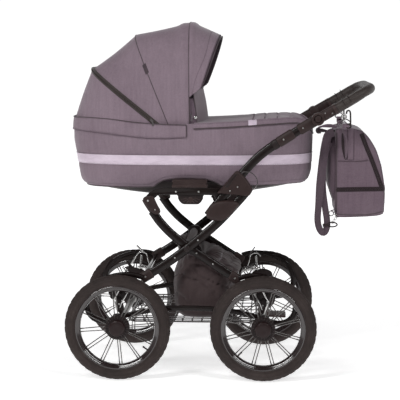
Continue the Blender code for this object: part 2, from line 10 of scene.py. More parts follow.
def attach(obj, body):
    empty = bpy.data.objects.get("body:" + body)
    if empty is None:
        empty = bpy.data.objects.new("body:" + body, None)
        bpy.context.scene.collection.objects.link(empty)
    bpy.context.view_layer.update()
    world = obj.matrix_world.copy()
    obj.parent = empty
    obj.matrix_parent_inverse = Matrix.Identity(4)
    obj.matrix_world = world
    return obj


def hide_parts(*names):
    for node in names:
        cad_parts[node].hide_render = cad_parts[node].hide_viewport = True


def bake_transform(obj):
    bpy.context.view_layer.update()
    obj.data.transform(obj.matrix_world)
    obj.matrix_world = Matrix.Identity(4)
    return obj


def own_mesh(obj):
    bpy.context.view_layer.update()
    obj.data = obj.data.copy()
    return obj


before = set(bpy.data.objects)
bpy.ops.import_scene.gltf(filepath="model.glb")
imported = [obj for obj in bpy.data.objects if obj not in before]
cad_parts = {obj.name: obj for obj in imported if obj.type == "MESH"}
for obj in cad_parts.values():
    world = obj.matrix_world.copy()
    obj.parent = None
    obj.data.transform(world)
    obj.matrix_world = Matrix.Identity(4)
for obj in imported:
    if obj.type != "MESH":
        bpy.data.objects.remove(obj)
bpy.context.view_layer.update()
X0 = -0.1127
SHIFT = Vector((X0, 0.0, 0.0))

WX, TY, WR = 0.2436, 0.2725, 0.178
HOOD = (-0.0510, 0.8350)
TILT = (0.4192, 0.8741)
CROSS = (-0.0130, 0.4400)
FOOT = (-0.1580, 0.3405)
BARP = (-0.1463, 0.6000)
BAG = (0.5120, 0.9050)
SIDES = (("left", -1), ("right", 1))
ENDS = (("front", -1), ("rear", 1))


# ------------------------------------------------------------------ materials
def tree(name):
    m = bpy.data.materials.new(name)
    m.use_nodes = True
    nt = m.node_tree
    return m, nt, nt.nodes["Principled BSDF"], nt.nodes, nt.links


def coords(nt, scale=(1, 1, 1), rot=(0, 0, 0)):
    tc = nt.nodes.new("ShaderNodeTexCoord")
    mp = nt.nodes.new("ShaderNodeMapping")
    mp.inputs["Scale"].default_value = scale
    mp.inputs["Rotation"].default_value = rot
    nt.links.new(tc.outputs["Object"], mp.inputs["Vector"])
    return mp.outputs["Vector"]


def noise_node(nt, vec, scale, detail=3.0, rough=0.55):
    n = nt.nodes.new("ShaderNodeTexNoise")
    n.inputs["Scale"].default_value = scale
    n.inputs["Detail"].default_value = detail
    n.inputs["Roughness"].default_value = rough
    nt.links.new(vec, n.inputs["Vector"])
    return n.outputs["Fac"]


def ramp(nt, fac, stops):
    r = nt.nodes.new("ShaderNodeValToRGB")
    e = r.color_ramp.elements
    e[0].position, e[0].color = stops[0][0], (*stops[0][1], 1)
    e[1].position, e[1].color = stops[-1][0], (*stops[-1][1], 1)
    for p, c in stops[1:-1]:
        x = e.new(p)
        x.color = (*c, 1)
    nt.links.new(fac, r.inputs["Fac"])
    return r.outputs["Color"]


def math_node(nt, op, a, b, clamp=False):
    n = nt.nodes.new("ShaderNodeMath")
    n.operation = op
    n.use_clamp = clamp
    for i, v in enumerate((a, b)):
        if isinstance(v, (int, float)):
            n.inputs[i].default_value = v
        else:
            nt.links.new(v, n.inputs[i])
    return n.outputs[0]


def bump(nt, height, dist, strength, normal=None):
    b = nt.nodes.new("ShaderNodeBump")
    b.inputs["Distance"].default_value = dist
    b.inputs["Strength"].default_value = strength
    nt.links.new(height, b.inputs["Height"])
    if normal is not None:
        nt.links.new(normal, b.inputs["Normal"])
    return b.outputs["Normal"]


def fabric(name, dark, light, weave=900.0, depth=0.0005, strength=0.6, rough=0.88, sheen=0.25, soft=0.35):
    """Plain woven cloth: warp and weft threads, slubs, faint shading and soft unevenness."""
    m, nt, b, _, links = tree(name)
    warp = noise_node(nt, coords(nt, (1.0, 1.0, 0.16)), weave, 2.0)
    weft = noise_node(nt, coords(nt, (0.16, 0.16, 1.0)), weave, 2.0)
    threads = math_node(nt, "MULTIPLY", math_node(nt, "ADD", warp, weft), 0.5)
    slub = noise_node(nt, coords(nt, (1.0, 1.0, 0.06)), 130.0, 3.0)
    cloud = noise_node(nt, coords(nt), 7.0, 4.0, 0.6)
    mix = math_node(nt, "ADD", math_node(nt, "MULTIPLY", threads, 0.50),
                    math_node(nt, "ADD", math_node(nt, "MULTIPLY", slub, 0.22), math_node(nt, "MULTIPLY", cloud, 0.28)))
    links.new(ramp(nt, mix, [(0.36, dark), (0.64, light)]), b.inputs["Base Color"])
    r = nt.nodes.new("ShaderNodeMapRange")
    r.inputs["To Min"].default_value, r.inputs["To Max"].default_value = rough - 0.06, rough + 0.06
    links.new(threads, r.inputs["Value"])
    links.new(r.outputs["Result"], b.inputs["Roughness"])
    fold = noise_node(nt, coords(nt), 26.0, 3.0, 0.5)
    n1 = bump(nt, fold, 0.004, soft * 0.4)
    links.new(bump(nt, threads, depth, strength, n1), b.inputs["Normal"])
    b.inputs["Sheen Weight"].default_value = sheen
    b.inputs["Sheen Roughness"].default_value = 0.45
    b.inputs["Specular IOR Level"].default_value = 0.25
    return m


def satin(name, dark, light):
    m, nt, b, _, links = tree(name)
    rib = noise_node(nt, coords(nt, (0.05, 0.05, 1.0)), 1400.0, 2.0)
    cloud = noise_node(nt, coords(nt, (1, 1, 3)), 12.0, 3.0)
    mix = math_node(nt, "ADD", math_node(nt, "MULTIPLY", rib, 0.45), math_node(nt, "MULTIPLY", cloud, 0.55))
    links.new(ramp(nt, mix, [(0.35, dark), (0.62, light)]), b.inputs["Base Color"])
    b.inputs["Roughness"].default_value = 0.42
    b.inputs["Specular IOR Level"].default_value = 0.5
    b.inputs["Sheen Weight"].default_value = 0.2
    links.new(bump(nt, rib, 0.0003, 0.5), b.inputs["Normal"])
    return m


def gloss(name, color, rough=0.13, spec=0.5, metal=0.0, coat=0.6):
    """Painted or plated metal: faint orange peel, smudges that change the gloss."""
    m, nt, b, _, links = tree(name)
    smudge = noise_node(nt, coords(nt), 22.0, 5.0, 0.6)
    dust = noise_node(nt, coords(nt), 300.0, 2.0)
    c2 = tuple(min(1.0, c * 1.35 + 0.004) for c in color)
    links.new(ramp(nt, smudge, [(0.35, color), (0.75, c2)]), b.inputs["Base Color"])
    r = nt.nodes.new("ShaderNodeMapRange")
    r.inputs["From Min"].default_value, r.inputs["From Max"].default_value = 0.3, 0.75
    r.inputs["To Min"].default_value, r.inputs["To Max"].default_value = rough, rough + 0.10
    links.new(smudge, r.inputs["Value"])
    links.new(r.outputs["Result"], b.inputs["Roughness"])
    b.inputs["Metallic"].default_value = metal
    b.inputs["Specular IOR Level"].default_value = spec
    b.inputs["Coat Weight"].default_value = coat
    b.inputs["Coat Roughness"].default_value = 0.06
    links.new(bump(nt, dust, 0.0001, 0.15), b.inputs["Normal"])
    return m


def plastic(name, color, rough=0.45, grain=1500.0, depth=0.00025, spec=0.26):
    """Moulded plastic: fine spark-eroded grain, paler on rubbed edges."""
    m, nt, b, _, links = tree(name)
    g = noise_node(nt, coords(nt), grain, 3.0, 0.6)
    cloud = noise_node(nt, coords(nt), 35.0, 4.0)
    geo = nt.nodes.new("ShaderNodeNewGeometry")
    edge = nt.nodes.new("ShaderNodeMapRange")
    edge.inputs["From Min"].default_value, edge.inputs["From Max"].default_value = 0.52, 0.62
    edge.inputs["To Max"].default_value = 0.35
    links.new(geo.outputs["Pointiness"], edge.inputs["Value"])
    fac = math_node(nt, "ADD", math_node(nt, "ADD", math_node(nt, "MULTIPLY", cloud, 0.6),
                                         math_node(nt, "MULTIPLY", g, 0.25)), edge.outputs["Result"], True)
    dark = tuple(c * 0.80 for c in color)
    pale = tuple(min(1.0, c * 1.5 + 0.01) for c in color)
    links.new(ramp(nt, fac, [(0.25, dark), (0.50, color), (0.85, pale)]), b.inputs["Base Color"])
    r = nt.nodes.new("ShaderNodeMapRange")
    r.inputs["To Min"].default_value, r.inputs["To Max"].default_value = rough - 0.05, rough + 0.08
    links.new(cloud, r.inputs["Value"])
    links.new(r.outputs["Result"], b.inputs["Roughness"])
    links.new(bump(nt, g, depth, 0.5), b.inputs["Normal"])
    b.inputs["Specular IOR Level"].default_value = spec
    return m


def rubber(name, color):
    m, nt, b, _, links = tree(name)
    fine = noise_node(nt, coords(nt), 700.0, 3.0)
    cloud = noise_node(nt, coords(nt), 18.0, 5.0, 0.65)
    fac = math_node(nt, "ADD", math_node(nt, "MULTIPLY", fine, 0.35), math_node(nt, "MULTIPLY", cloud, 0.65))
    dusty = tuple(min(1.0, c * 1.5 + 0.012) for c in color)
    # painted shade: by pointiness the rubber turns darker in the tread's hollows, where shade falls, and a little paler
    # on its convex edges
    geo = nt.nodes.new("ShaderNodeNewGeometry")
    groove_shade = nt.nodes.new("ShaderNodeMapRange")
    groove_shade.inputs["From Min"].default_value, groove_shade.inputs["From Max"].default_value = 0.42, 0.56
    groove_shade.inputs["To Min"].default_value, groove_shade.inputs["To Max"].default_value = -0.22, 0.10
    links.new(geo.outputs["Pointiness"], groove_shade.inputs["Value"])
    fac = math_node(nt, "ADD", fac, groove_shade.outputs["Result"], True)
    links.new(ramp(nt, fac, [(0.30, tuple(c * 0.55 for c in color)), (0.52, color), (0.74, dusty)]), b.inputs["Base Color"])
    r = nt.nodes.new("ShaderNodeMapRange")
    r.inputs["To Min"].default_value, r.inputs["To Max"].default_value = 0.62, 0.88
    links.new(cloud, r.inputs["Value"])
    links.new(r.outputs["Result"], b.inputs["Roughness"])
    links.new(bump(nt, fine, 0.0005, 0.5), b.inputs["Normal"])
    b.inputs["Specular IOR Level"].default_value = 0.25
    return m


def leather(name, color):
    m, nt, b, _, links = tree(name)
    v = nt.nodes.new("ShaderNodeTexVoronoi")
    v.inputs["Scale"].default_value = 420.0
    links.new(coords(nt), v.inputs["Vector"])
    cloud = noise_node(nt, coords(nt), 30.0, 5.0, 0.6)
    fac = math_node(nt, "ADD", math_node(nt, "MULTIPLY", v.outputs["Distance"], 0.5), math_node(nt, "MULTIPLY", cloud, 0.6))
    pale = tuple(min(1.0, c * 1.6 + 0.01) for c in color)
    links.new(ramp(nt, fac, [(0.2, tuple(c * 0.75 for c in color)), (0.5, color), (0.85, pale)]), b.inputs["Base Color"])
    r = nt.nodes.new("ShaderNodeMapRange")
    r.inputs["To Min"].default_value, r.inputs["To Max"].default_value = 0.40, 0.60
    links.new(cloud, r.inputs["Value"])
    links.new(r.outputs["Result"], b.inputs["Roughness"])
    links.new(bump(nt, v.outputs["Distance"], 0.0006, 0.6), b.inputs["Normal"])
    b.inputs["Specular IOR Level"].default_value = 0.32
    return m


def chrome(name, color=(0.72, 0.71, 0.70), rough=0.12):
    m, nt, b, _, links = tree(name)
    smudge = noise_node(nt, coords(nt), 60.0, 4.0)
    links.new(ramp(nt, smudge, [(0.3, tuple(c * 0.82 for c in color)), (0.7, color)]), b.inputs["Base Color"])
    r = nt.nodes.new("ShaderNodeMapRange")
    r.inputs["To Min"].default_value, r.inputs["To Max"].default_value = rough, rough + 0.14
    links.new(smudge, r.inputs["Value"])
    links.new(r.outputs["Result"], b.inputs["Roughness"])
    b.inputs["Metallic"].default_value = 1.0
    links.new(bump(nt, smudge, 0.0002, 0.2), b.inputs["Normal"])
    return m


MAUVE = fabric("mauve_cloth", (0.182, 0.134, 0.164), (0.272, 0.208, 0.247))
MAUVE_GREY = fabric("flap_cloth", (0.184, 0.146, 0.168), (0.262, 0.214, 0.240))
BAGCLOTH = fabric("bag_cloth", (0.118, 0.080, 0.104), (0.184, 0.134, 0.164), weave=800.0)
# darker bag cloth: piping round the gussets and the pocket edge, and painted shade on the back panel and under the side
# tab
BAG_DEEP = fabric("bag_dark_cloth_painted_shade", (0.070, 0.046, 0.060), (0.110, 0.078, 0.096), weave=900.0)
MAUVE_DEEP = fabric("mauve_strap", (0.100, 0.070, 0.090), (0.150, 0.108, 0.135), weave=1300.0)
STRAP_CLOTH = fabric("strap_webbing", (0.056, 0.038, 0.049), (0.108, 0.078, 0.096), weave=900.0, soft=0.6)
STRAP_DARK = fabric("strap_webbing_dark", (0.022, 0.014, 0.017), (0.050, 0.035, 0.043), weave=900.0, soft=0.4)
# dark tape of the bag's zips, also used as painted shadow inside the leaf fold
BAG_ZIP_AND_SHADE = fabric("bag_zip_tape_and_painted_shade", (0.022, 0.014, 0.017), (0.042, 0.029, 0.034), weave=1500.0, soft=0.05)
LINING = fabric("lining_cloth", (0.048, 0.034, 0.042), (0.082, 0.061, 0.072), weave=1100.0)
PIPING = fabric("piping_cloth", (0.060, 0.044, 0.050), (0.095, 0.072, 0.082), weave=1400.0, soft=0.1)
ZIPTAPE = fabric("zip_tape", (0.040, 0.032, 0.030), (0.068, 0.056, 0.052), weave=1700.0, soft=0.05)
BASKET = fabric("basket_cloth", (0.034, 0.020, 0.021), (0.062, 0.042, 0.042), weave=1200.0, rough=0.62, sheen=0.12, soft=0.8)
WHITE = fabric("cotton_cloth", (0.70, 0.68, 0.67), (0.80, 0.79, 0.78), weave=1000.0)
STRIPE = satin("satin_ribbon", (0.54, 0.44, 0.53), (0.74, 0.63, 0.73))
BLACK = gloss("black_lacquer", (0.0075, 0.0040, 0.0036), 0.09, 0.17, 0.0, 0.14)
RIM = gloss("rim_lacquer", (0.016, 0.009, 0.009), 0.10, 0.55, 0.0, 1.0)
PLASTIC = plastic("brown_plastic", (0.032, 0.018, 0.017))
PLASTIC_DARK = plastic("dark_plastic", (0.018, 0.011, 0.011), 0.40)
HUBCAP = plastic("hub_plastic", (0.020, 0.010, 0.010), 0.30, 900.0, 0.0001)
TYRE = rubber("tyre_rubber", (0.036, 0.026, 0.024))
GRIP = leather("grip_leatherette", (0.040, 0.031, 0.028))
CHROME = chrome("bright_chrome")
STEEL = chrome("dull_steel", (0.50, 0.49, 0.48), 0.25)
NICKEL = gloss("black_nickel", (0.10, 0.09, 0.09), 0.22, 0.6, 0.85, 0.2)
SPOKE = chrome("spoke_steel", (0.17, 0.16, 0.155), 0.20)


# ------------------------------------------------------------------ mesh tools
def raw(verts, faces):
    me = bpy.data.meshes.new("m")
    me.from_pydata([tuple(v) for v in verts], [], faces)
    me.update()
    return me


def tidy(me, dist=1e-6):
    bm = bmesh.new()
    bm.from_mesh(me)
    bmesh.ops.remove_doubles(bm, verts=bm.verts, dist=dist)
    bmesh.ops.dissolve_degenerate(bm, edges=bm.edges, dist=1e-7)
    bmesh.ops.recalc_face_normals(bm, faces=bm.faces)
    bm.to_mesh(me)
    bm.free()
    return me


def joined(meshes):
    bm = bmesh.new()
    for m in meshes:
        bm.from_mesh(m)
    me = bpy.data.meshes.new("joined")
    bm.to_mesh(me)
    bm.free()
    return me


def moved(me, at=(0, 0, 0), mirror=False, turn=None, scale=None):
    m = me.copy()
    if scale:
        m.transform(Matrix.Diagonal((*scale, 1)))
    if turn:
        m.transform(Matrix.Rotation(math.radians(turn[1]), 4, turn[0]))
    if mirror:
        m.transform(Matrix.Diagonal((1, -1, 1, 1)))
        m.flip_normals()
    m.transform(Matrix.Translation(at))
    return m


def grid(rows, close_u=False, close_v=False):
    """Surface through rows of points; u runs along a row, v from row to row."""
    n, k = len(rows), len(rows[0])
    verts = [p for r in rows for p in r]
    faces = []
    for i in range(n if close_v else n - 1):
        a, b = i * k, ((i + 1) % n) * k
        for j in range(k if close_u else k - 1):
            j2 = (j + 1) % k
            faces.append((a + j, a + j2, b + j2, b + j))
    return raw(verts, faces)


def rings(rs, cap0=True, cap1=True):
    n, k = len(rs), len(rs[0])
    me = grid(rs, close_u=True)
    bm = bmesh.new()
    bm.from_mesh(me)
    bm.verts.ensure_lookup_table()
    if cap0:
        bm.faces.new([bm.verts[j] for j in range(k)][::-1])
    if cap1:
        bm.faces.new([bm.verts[(n - 1) * k + j] for j in range(k)])
    bmesh.ops.recalc_face_normals(bm, faces=bm.faces)
    bm.to_mesh(me)
    bm.free()
    return me


def smooth(pts, n, closed=False):
    """n points evenly spaced along a Catmull-Rom curve through pts."""
    p = [Vector(q) for q in pts]
    if closed:
        p = [p[-1]] + p + [p[0], p[1]]
    else:
        p = [p[0] * 2 - p[1]] + p + [p[-1] * 2 - p[-2]]
    out = []
    for i in range(1, len(p) - 2):
        for k in range(24):
            t = k / 24
            a, b, c, d = p[i - 1], p[i], p[i + 1], p[i + 2]
            out.append(0.5 * ((2 * b) + (c - a) * t + (2 * a - 5 * b + 4 * c - d) * t * t + (3 * b - a - 3 * c + d) * t ** 3))
    out.append(p[-2])
    return even(out, n, closed)


def even(pts, n, closed=False):
    pts = [Vector(p) for p in pts]
    d = [0.0]
    for a, b in zip(pts, pts[1:]):
        d.append(d[-1] + (b - a).length)
    total = d[-1]
    out = []
    j = 0
    m = n if closed else n - 1
    for i in range(n):
        s = total * i / m
        while j < len(d) - 2 and d[j + 1] < s:
            j += 1
        seg = d[j + 1] - d[j]
        t = 0 if seg < 1e-12 else (s - d[j]) / seg
        out.append(pts[j].lerp(pts[j + 1], min(1.0, t)))
    return out


def circle(r, n=12, r2=None):
    r2 = r if r2 is None else r2
    return [(r * math.cos(2 * math.pi * i / n), r2 * math.sin(2 * math.pi * i / n)) for i in range(n)]


def sweep(path, section, side=None, closed=False, caps=True, scales=None, round_end=0.0):
    """Section (a, b) points carried along path; b lies along the side vector."""
    path = [Vector(p) for p in path]
    sc = list(scales) if scales else [1.0] * len(path)
    if round_end and not closed:
        t0 = (path[1] - path[0]).normalized()
        t1 = (path[-1] - path[-2]).normalized()
        path = [path[0], path[0] + t0 * round_end * 0.4, path[0] + t0 * round_end] + path[1:-1] + [
            path[-1] - t1 * round_end, path[-1] - t1 * round_end * 0.4, path[-1]]
        sc = [sc[0] * 0.72, sc[0] * 0.92, sc[0]] + sc[1:-1] + [sc[-1], sc[-1] * 0.92, sc[-1] * 0.72]
    n = len(path)
    tang = []
    for i in range(n):
        a = path[i - 1] if (i > 0 or closed) else path[0]
        b = path[(i + 1) % n] if (i < n - 1 or closed) else path[-1]
        tang.append((b - a).normalized())
    rs = []
    ref = None
    for i in range(n):
        t = tang[i]
        if side is not None:
            s = Vector(side)
            s = (s - t * s.dot(t)).normalized()
        else:
            if ref is None:
                ref = t.orthogonal().normalized()
            ref = (ref - t * ref.dot(t)).normalized()
            s = ref
        nn = s.cross(t)
        rs.append([path[i] + (nn * a + s * b) * sc[i] for a, b in section])
    if closed:
        return tidy(grid(rs, close_u=True, close_v=True))
    return rings(rs, caps, caps)


def wire(pts, r, n=8, count=None, closed=False):
    p = smooth(pts, count, closed) if count else [Vector(q) for q in pts]
    return sweep(p, circle(r, n), closed=closed)


def lathe(profile, n, centre=(0, 0, 0), closed=False, lug=None):
    """Turned about the Y line through centre; profile = (radius, y). lug(i, k)
    changes the radius of profile point i at step k."""
    c = Vector(centre)
    rs = []
    for k in range(n):
        a = 2 * math.pi * k / n
        row = []
        for i, (r, y) in enumerate(profile):
            rr = r + (lug(i, k) if lug else 0.0)
            row.append(c + Vector((rr * math.cos(a), y, rr * math.sin(a))))
        rs.append(row)
    return tidy(grid(rs, close_u=closed, close_v=True), 1e-7)


def box(lo, hi, bev=0.0, seg=2):
    bm = bmesh.new()
    mid = [(a + b) / 2 for a, b in zip(lo, hi)]
    bmesh.ops.create_cube(bm, size=1.0, matrix=Matrix.Translation(mid) @ Matrix.Diagonal((*[b - a for a, b in zip(lo, hi)], 1)))
    if bev:
        bmesh.ops.bevel(bm, geom=bm.edges[:], offset=bev, segments=seg, profile=0.6, affect="EDGES", clamp_overlap=True)
    me = bpy.data.meshes.new("box")
    bm.to_mesh(me)
    bm.free()
    return me


def cyl(p0, p1, r, n=16, bev=0.0):
    a, b = Vector(p0), Vector(p1)
    d = b - a
    bm = bmesh.new()
    m = Matrix.Translation((a + b) / 2) @ d.to_track_quat("Z", "Y").to_matrix().to_4x4()
    bmesh.ops.create_cone(bm, cap_ends=True, segments=n, radius1=r, radius2=r, depth=d.length, matrix=m)
    if bev:
        es = [e for e in bm.edges if any(len(f.verts) > 4 for f in e.link_faces)]
        bmesh.ops.bevel(bm, geom=es, offset=bev, segments=2, profile=0.6, affect="EDGES", clamp_overlap=True)
    me = bpy.data.meshes.new("cyl")
    bm.to_mesh(me)
    bm.free()
    return me


def plate(outline, y0, y1, bev=0.0, seg=3, count=None, dome=0.0):
    """Flat moulding in the XZ plane with rounded edges; dome is not used."""
    pts = [(p.x, p.y) for p in smooth([(x, z, 0) for x, z in outline], count, True)] if count else outline
    y0, y1 = min(y0, y1), max(y0, y1)
    bm = bmesh.new()
    low = [bm.verts.new((x, y0, z)) for x, z in pts]
    f = bm.faces.new(low)
    ext = bmesh.ops.extrude_face_region(bm, geom=[f])
    up = [v for v in ext["geom"] if isinstance(v, bmesh.types.BMVert)]
    for v in up:
        v.co.y = y1
    bmesh.ops.recalc_face_normals(bm, faces=bm.faces)
    if bev:
        es = [e for e in bm.edges if e.calc_face_angle(0) > 0.6 and abs(e.verts[0].co.y - e.verts[1].co.y) < 1e-6]
        bmesh.ops.bevel(bm, geom=es, offset=bev, segments=seg, profile=0.5, affect="EDGES", clamp_overlap=True)
    me = bpy.data.meshes.new("plate")
    bm.to_mesh(me)
    bm.free()
    return me


def dot(at, r=0.0032, out=1, h=0.0016):
    """Domed rivet or screw head on a face that looks along +Y (out = 1) or -Y."""
    prof = [(0.0, h), (r * 0.5, h * 0.9), (r * 0.85, h * 0.55), (r, 0.0), (r, -0.001)]
    return lathe([(a, b * out) for a, b in prof], 14, at)


def modify(me, *mods):
    """Mesh after the given modifiers, with nothing left to apply."""
    ob = bpy.data.objects.new("tmp", me)
    bpy.context.scene.collection.objects.link(ob)
    for kind, settings in mods:
        m = ob.modifiers.new("m", kind)
        for k, v in settings.items():
            setattr(m, k, v)
    bpy.context.view_layer.update()
    out = bpy.data.meshes.new_from_object(ob.evaluated_get(bpy.context.evaluated_depsgraph_get()))
    bpy.data.objects.remove(ob, do_unlink=True)
    return out


def thick(me, t, offset=-1.0):
    return modify(me, ("SOLIDIFY", dict(thickness=t, offset=offset, use_even_offset=True)))


def subdivided(me, n=1):
    return modify(me, ("SUBSURF", dict(levels=n, render_levels=n)))


def add(name, me, mat, body=None, nodes=(), angle=40, flat=False, shifted=False):
    """Puts a drawn mesh in the scene as a piece that rides on a body."""
    me.name = name
    if not shifted:
        me.transform(Matrix.Translation(SHIFT))
    me.materials.clear()
    me.materials.append(mat)
    for p in me.polygons:
        p.material_index = 0
    if not flat:
        me.shade_smooth()
        me.set_sharp_from_angle(angle=math.radians(angle))
    ob = bpy.data.objects.new(name, me)
    bpy.context.scene.collection.objects.link(ob)
    if body:
        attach(ob, body)
    if nodes:
        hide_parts(*nodes)
    return ob


def both(name, me, mat, body, node=None, **kw):
    """me is drawn on the right (+Y) side; the left gets its mirror image. {} in
    body or node becomes the side's name."""
    for side, sy in SIDES:
        m = moved(me, mirror=sy < 0)
        add("%s_%s" % (name, side), m, mat, body.replace("{}", side), (node.replace("{}", side),) if node else (), **kw)


def wrinkle(p, scale, seed=0.0):
    return noise.noise(Vector((p[0] * scale + seed, p[1] * scale - seed, p[2] * scale + 2 * seed)))


# ------------------------------------------------------------------ wheels
tyre_half = [(0.1372, 0.0105), (0.1385, 0.0138), (0.1412, 0.0160), (0.1440, 0.0180), (0.1452, 0.0188), (0.1462, 0.0186),
             (0.1475, 0.0196), (0.1510, 0.0206), (0.1550, 0.0210), (0.1590, 0.0207), (0.1600, 0.0202), (0.1612, 0.0203),
             (0.1640, 0.0192), (0.1662, 0.0178), (0.1690, 0.0163), (0.1712, 0.0143), (0.1733, 0.0122), (0.1722, 0.0108),
             (0.1738, 0.0098), (0.1760, 0.0076), (0.1768, 0.0056), (0.1757, 0.0044), (0.1764, 0.0034), (0.1779, 0.0016)]
tyre_prof = [(r, -y) for r, y in tyre_half] + [(r, y) for r, y in tyre_half[::-1]]
N_T = 168
nh = len(tyre_half)


def lug(i, k):
    j = i if i < nh else 2 * nh - 1 - i
    side_shift = 0 if i < nh else 1
    phase = (k + 2 * side_shift) % 4
    if 14 <= j <= 16 and phase == 0:
        return -0.0022
    if 18 <= j <= 20 and phase == 2:
        return -0.0017
    if 8 <= j <= 9 and (k % 4) in (0, 1):
        return -0.0009
    if j == 23 and (k % 4) == 0:
        return -0.0013
    return 0.0


tyre_me = lathe(tyre_prof, N_T, closed=True, lug=lug)
rim_half = [(0.1412, 0.0158), (0.1392, 0.0172), (0.1370, 0.0172), (0.1352, 0.0160), (0.1340, 0.0146), (0.1322, 0.0138),
            (0.1290, 0.0120), (0.1262, 0.0092), (0.1246, 0.0052), (0.1241, 0.0018)]
rim_prof = [(r, -y) for r, y in rim_half] + [(r, y) for r, y in rim_half[::-1]] + [(0.1385, 0.0130), (0.1385, -0.0130)]
rim_me = lathe(rim_prof, 112, closed=True)
spokes = []
for k in range(12):
    a = math.radians(30 * k + 15)
    c, s = math.cos(a), math.sin(a)
    for q in (-1, 1):
        off = 0.0047 * q
        p0 = Vector((0.030 * c - off * s, 0.0085 * q, 0.030 * s + off * c))
        p1 = Vector((0.1258 * c - off * s, 0.0022 * q, 0.1258 * s + off * c))
        spokes.append(cyl(p0, p1, 0.00175, 8))
        t = (p1 - p0).normalized()
        spokes.append(cyl(p1 - t * 0.0105, p1 + t * 0.0006, 0.0022, 8))
spoke_me = joined(spokes)
hub = [lathe([(0.0, 0.0110), (0.034, 0.0110), (0.0395, 0.0098), (0.0408, 0.0080), (0.0408, 0.0055), (0.0385, 0.0045), (0.026, 0.0040),
              (0.0215, 0.0030), (0.0205, -0.0030), (0.026, -0.0040), (0.0385, -0.0045), (0.0408, -0.0055), (0.0408, -0.0080),
              (0.0395, -0.0096), (0.030, -0.0105), (0.0210, -0.0120), (0.0195, -0.0190), (0.0160, -0.0200), (0.0072, -0.0200)], 48)]
for k in range(24):
    a = math.radians(15 * k + 7.5)
    b = box((0.0285, 0.0085, -0.0011), (0.0402, 0.0134, 0.0011), 0.0005, 1)
    b.transform(Matrix.Rotation(-a, 4, "Y"))
    hub.append(b)
hub_me = joined(hub)
cap_me = lathe([(0.0, 0.0252), (0.0060, 0.0253), (0.0120, 0.0256), (0.0190, 0.0256), (0.0225, 0.0250), (0.0250, 0.0238), (0.0266, 0.0216),
                (0.0278, 0.0180), (0.0284, 0.0140), (0.0286, 0.0105)], 56)
valve = joined([cyl((0, 0.0, -0.1290), (0, 0.0020, -0.1120), 0.0026, 10, 0.0003), cyl((0, 0.0018, -0.1130), (0, 0.0024, -0.1065), 0.0032, 10, 0.0006)])
for end, sx in ENDS:
    for side, sy in SIDES:
        at = (sx * WX, sy * TY, WR)
        tag, body = "%s_%s" % (end, side), "wheel_%s_%s" % (end, side)
        m = sy < 0
        spin = {"front_left": 10.0, "front_right": 17.0, "rear_left": 0.0, "rear_right": 9.0}[tag]
        turn = ("Y", spin)
        add("tyre_tread_" + tag, moved(tyre_me, at, m, turn), TYRE, body, ("tyre_" + tag,), 35)
        add("rim_" + tag, moved(rim_me, at, m, turn), RIM, body, ("wheel_" + tag,), 50)
        add("spokes_" + tag, moved(spoke_me, at, m, turn), SPOKE, body)
        add("hub_" + tag, moved(hub_me, at, m, turn), PLASTIC_DARK, body, (), 35)
        add("hub_cap_" + tag, moved(cap_me, at, m, turn), HUBCAP, body, (), 30)
        add("valve_" + tag, moved(valve, at, m, ("Y", -53 if tag == "front_left" else spin + 42)), PLASTIC_DARK, body)

# ------------------------------------------------------------------ chassis
OVAL = circle(0.015, 20, 0.0075)


def flat_tube(xz, layer, half, ratio=0.5, count=40, n=20, scales=None, rnd=0.0):
    p = smooth([(x, layer, z) for x, z in xz], count)
    return sweep(p, circle(half, n, half * ratio), side=(0, 1, 0), scales=scales, round_end=rnd)


rail_xz = [(-0.2536, 0.2027), (-0.213, 0.2105), (-0.172, 0.2205), (-0.125, 0.2290), (-0.070, 0.2345),
           (0.0, 0.2362), (0.070, 0.2345), (0.125, 0.2290), (0.172, 0.2205), (0.213, 0.2105), (0.2536, 0.2027)]
rail = flat_tube(rail_xz, 0.2255, 0.009, 0.4, 60, 16)
for side, sy in SIDES:
    add("rail_" + side, moved(rail, mirror=sy < 0), BLACK, "chassis", ("axle_frame",) if sy < 0 else ())
for end, sx in ENDS:
    x = sx * WX
    axle = [cyl((x, -0.2310, WR), (x, 0.2310, WR), 0.0100, 24, 0.001), cyl((x, -0.2795, WR), (x, 0.2795, WR), 0.0064, 20, 0.001)]
    for sy in (-1, 1):
        axle.append(cyl((x, sy * 0.2395, WR), (x, sy * 0.2520, WR), 0.0125, 20, 0.0015))
        axle.append(cyl((x, sy * 0.2180, WR), (x, sy * 0.2240, WR), 0.0140, 20, 0.0015))
    add("axle_" + end, joined(axle), STEEL, "chassis")
    bits, pins = [], []
    for sy in (-1, 1):
        out = [(x + dx, z) for dx, z in ((-0.0185, 0.199), (-0.0150, 0.176), (-0.008, 0.1625), (0.008, 0.1625), (0.0150, 0.176),
                                         (0.0185, 0.199), (0.0165, 0.2150), (-0.0165, 0.2150))]
        bits.append(plate(out, sy * 0.2290, sy * 0.2385, 0.002, 2, 40))
        bits.append(plate([(x - sx * a, z) for a, z in ((0.012, 0.212), (-0.006, 0.232), (-0.010, 0.262), (0.004, 0.270), (0.018, 0.240))],
                          sy * 0.2300, sy * 0.2380, 0.002, 2, 30))
        for dx, z in ((-0.009, 0.205), (0.009, 0.205), (0.0, 0.250)):
            pins.append(dot((x + dx * (1 if z < 0.24 else 0) - sx * (0.0 if z < 0.24 else 0.002), sy * 0.2388, z), 0.0034, sy))
    add("axle_bracket_" + end, joined(bits), PLASTIC_DARK, "chassis")
    add("axle_bolts_" + end, joined(pins), STEEL, "chassis")

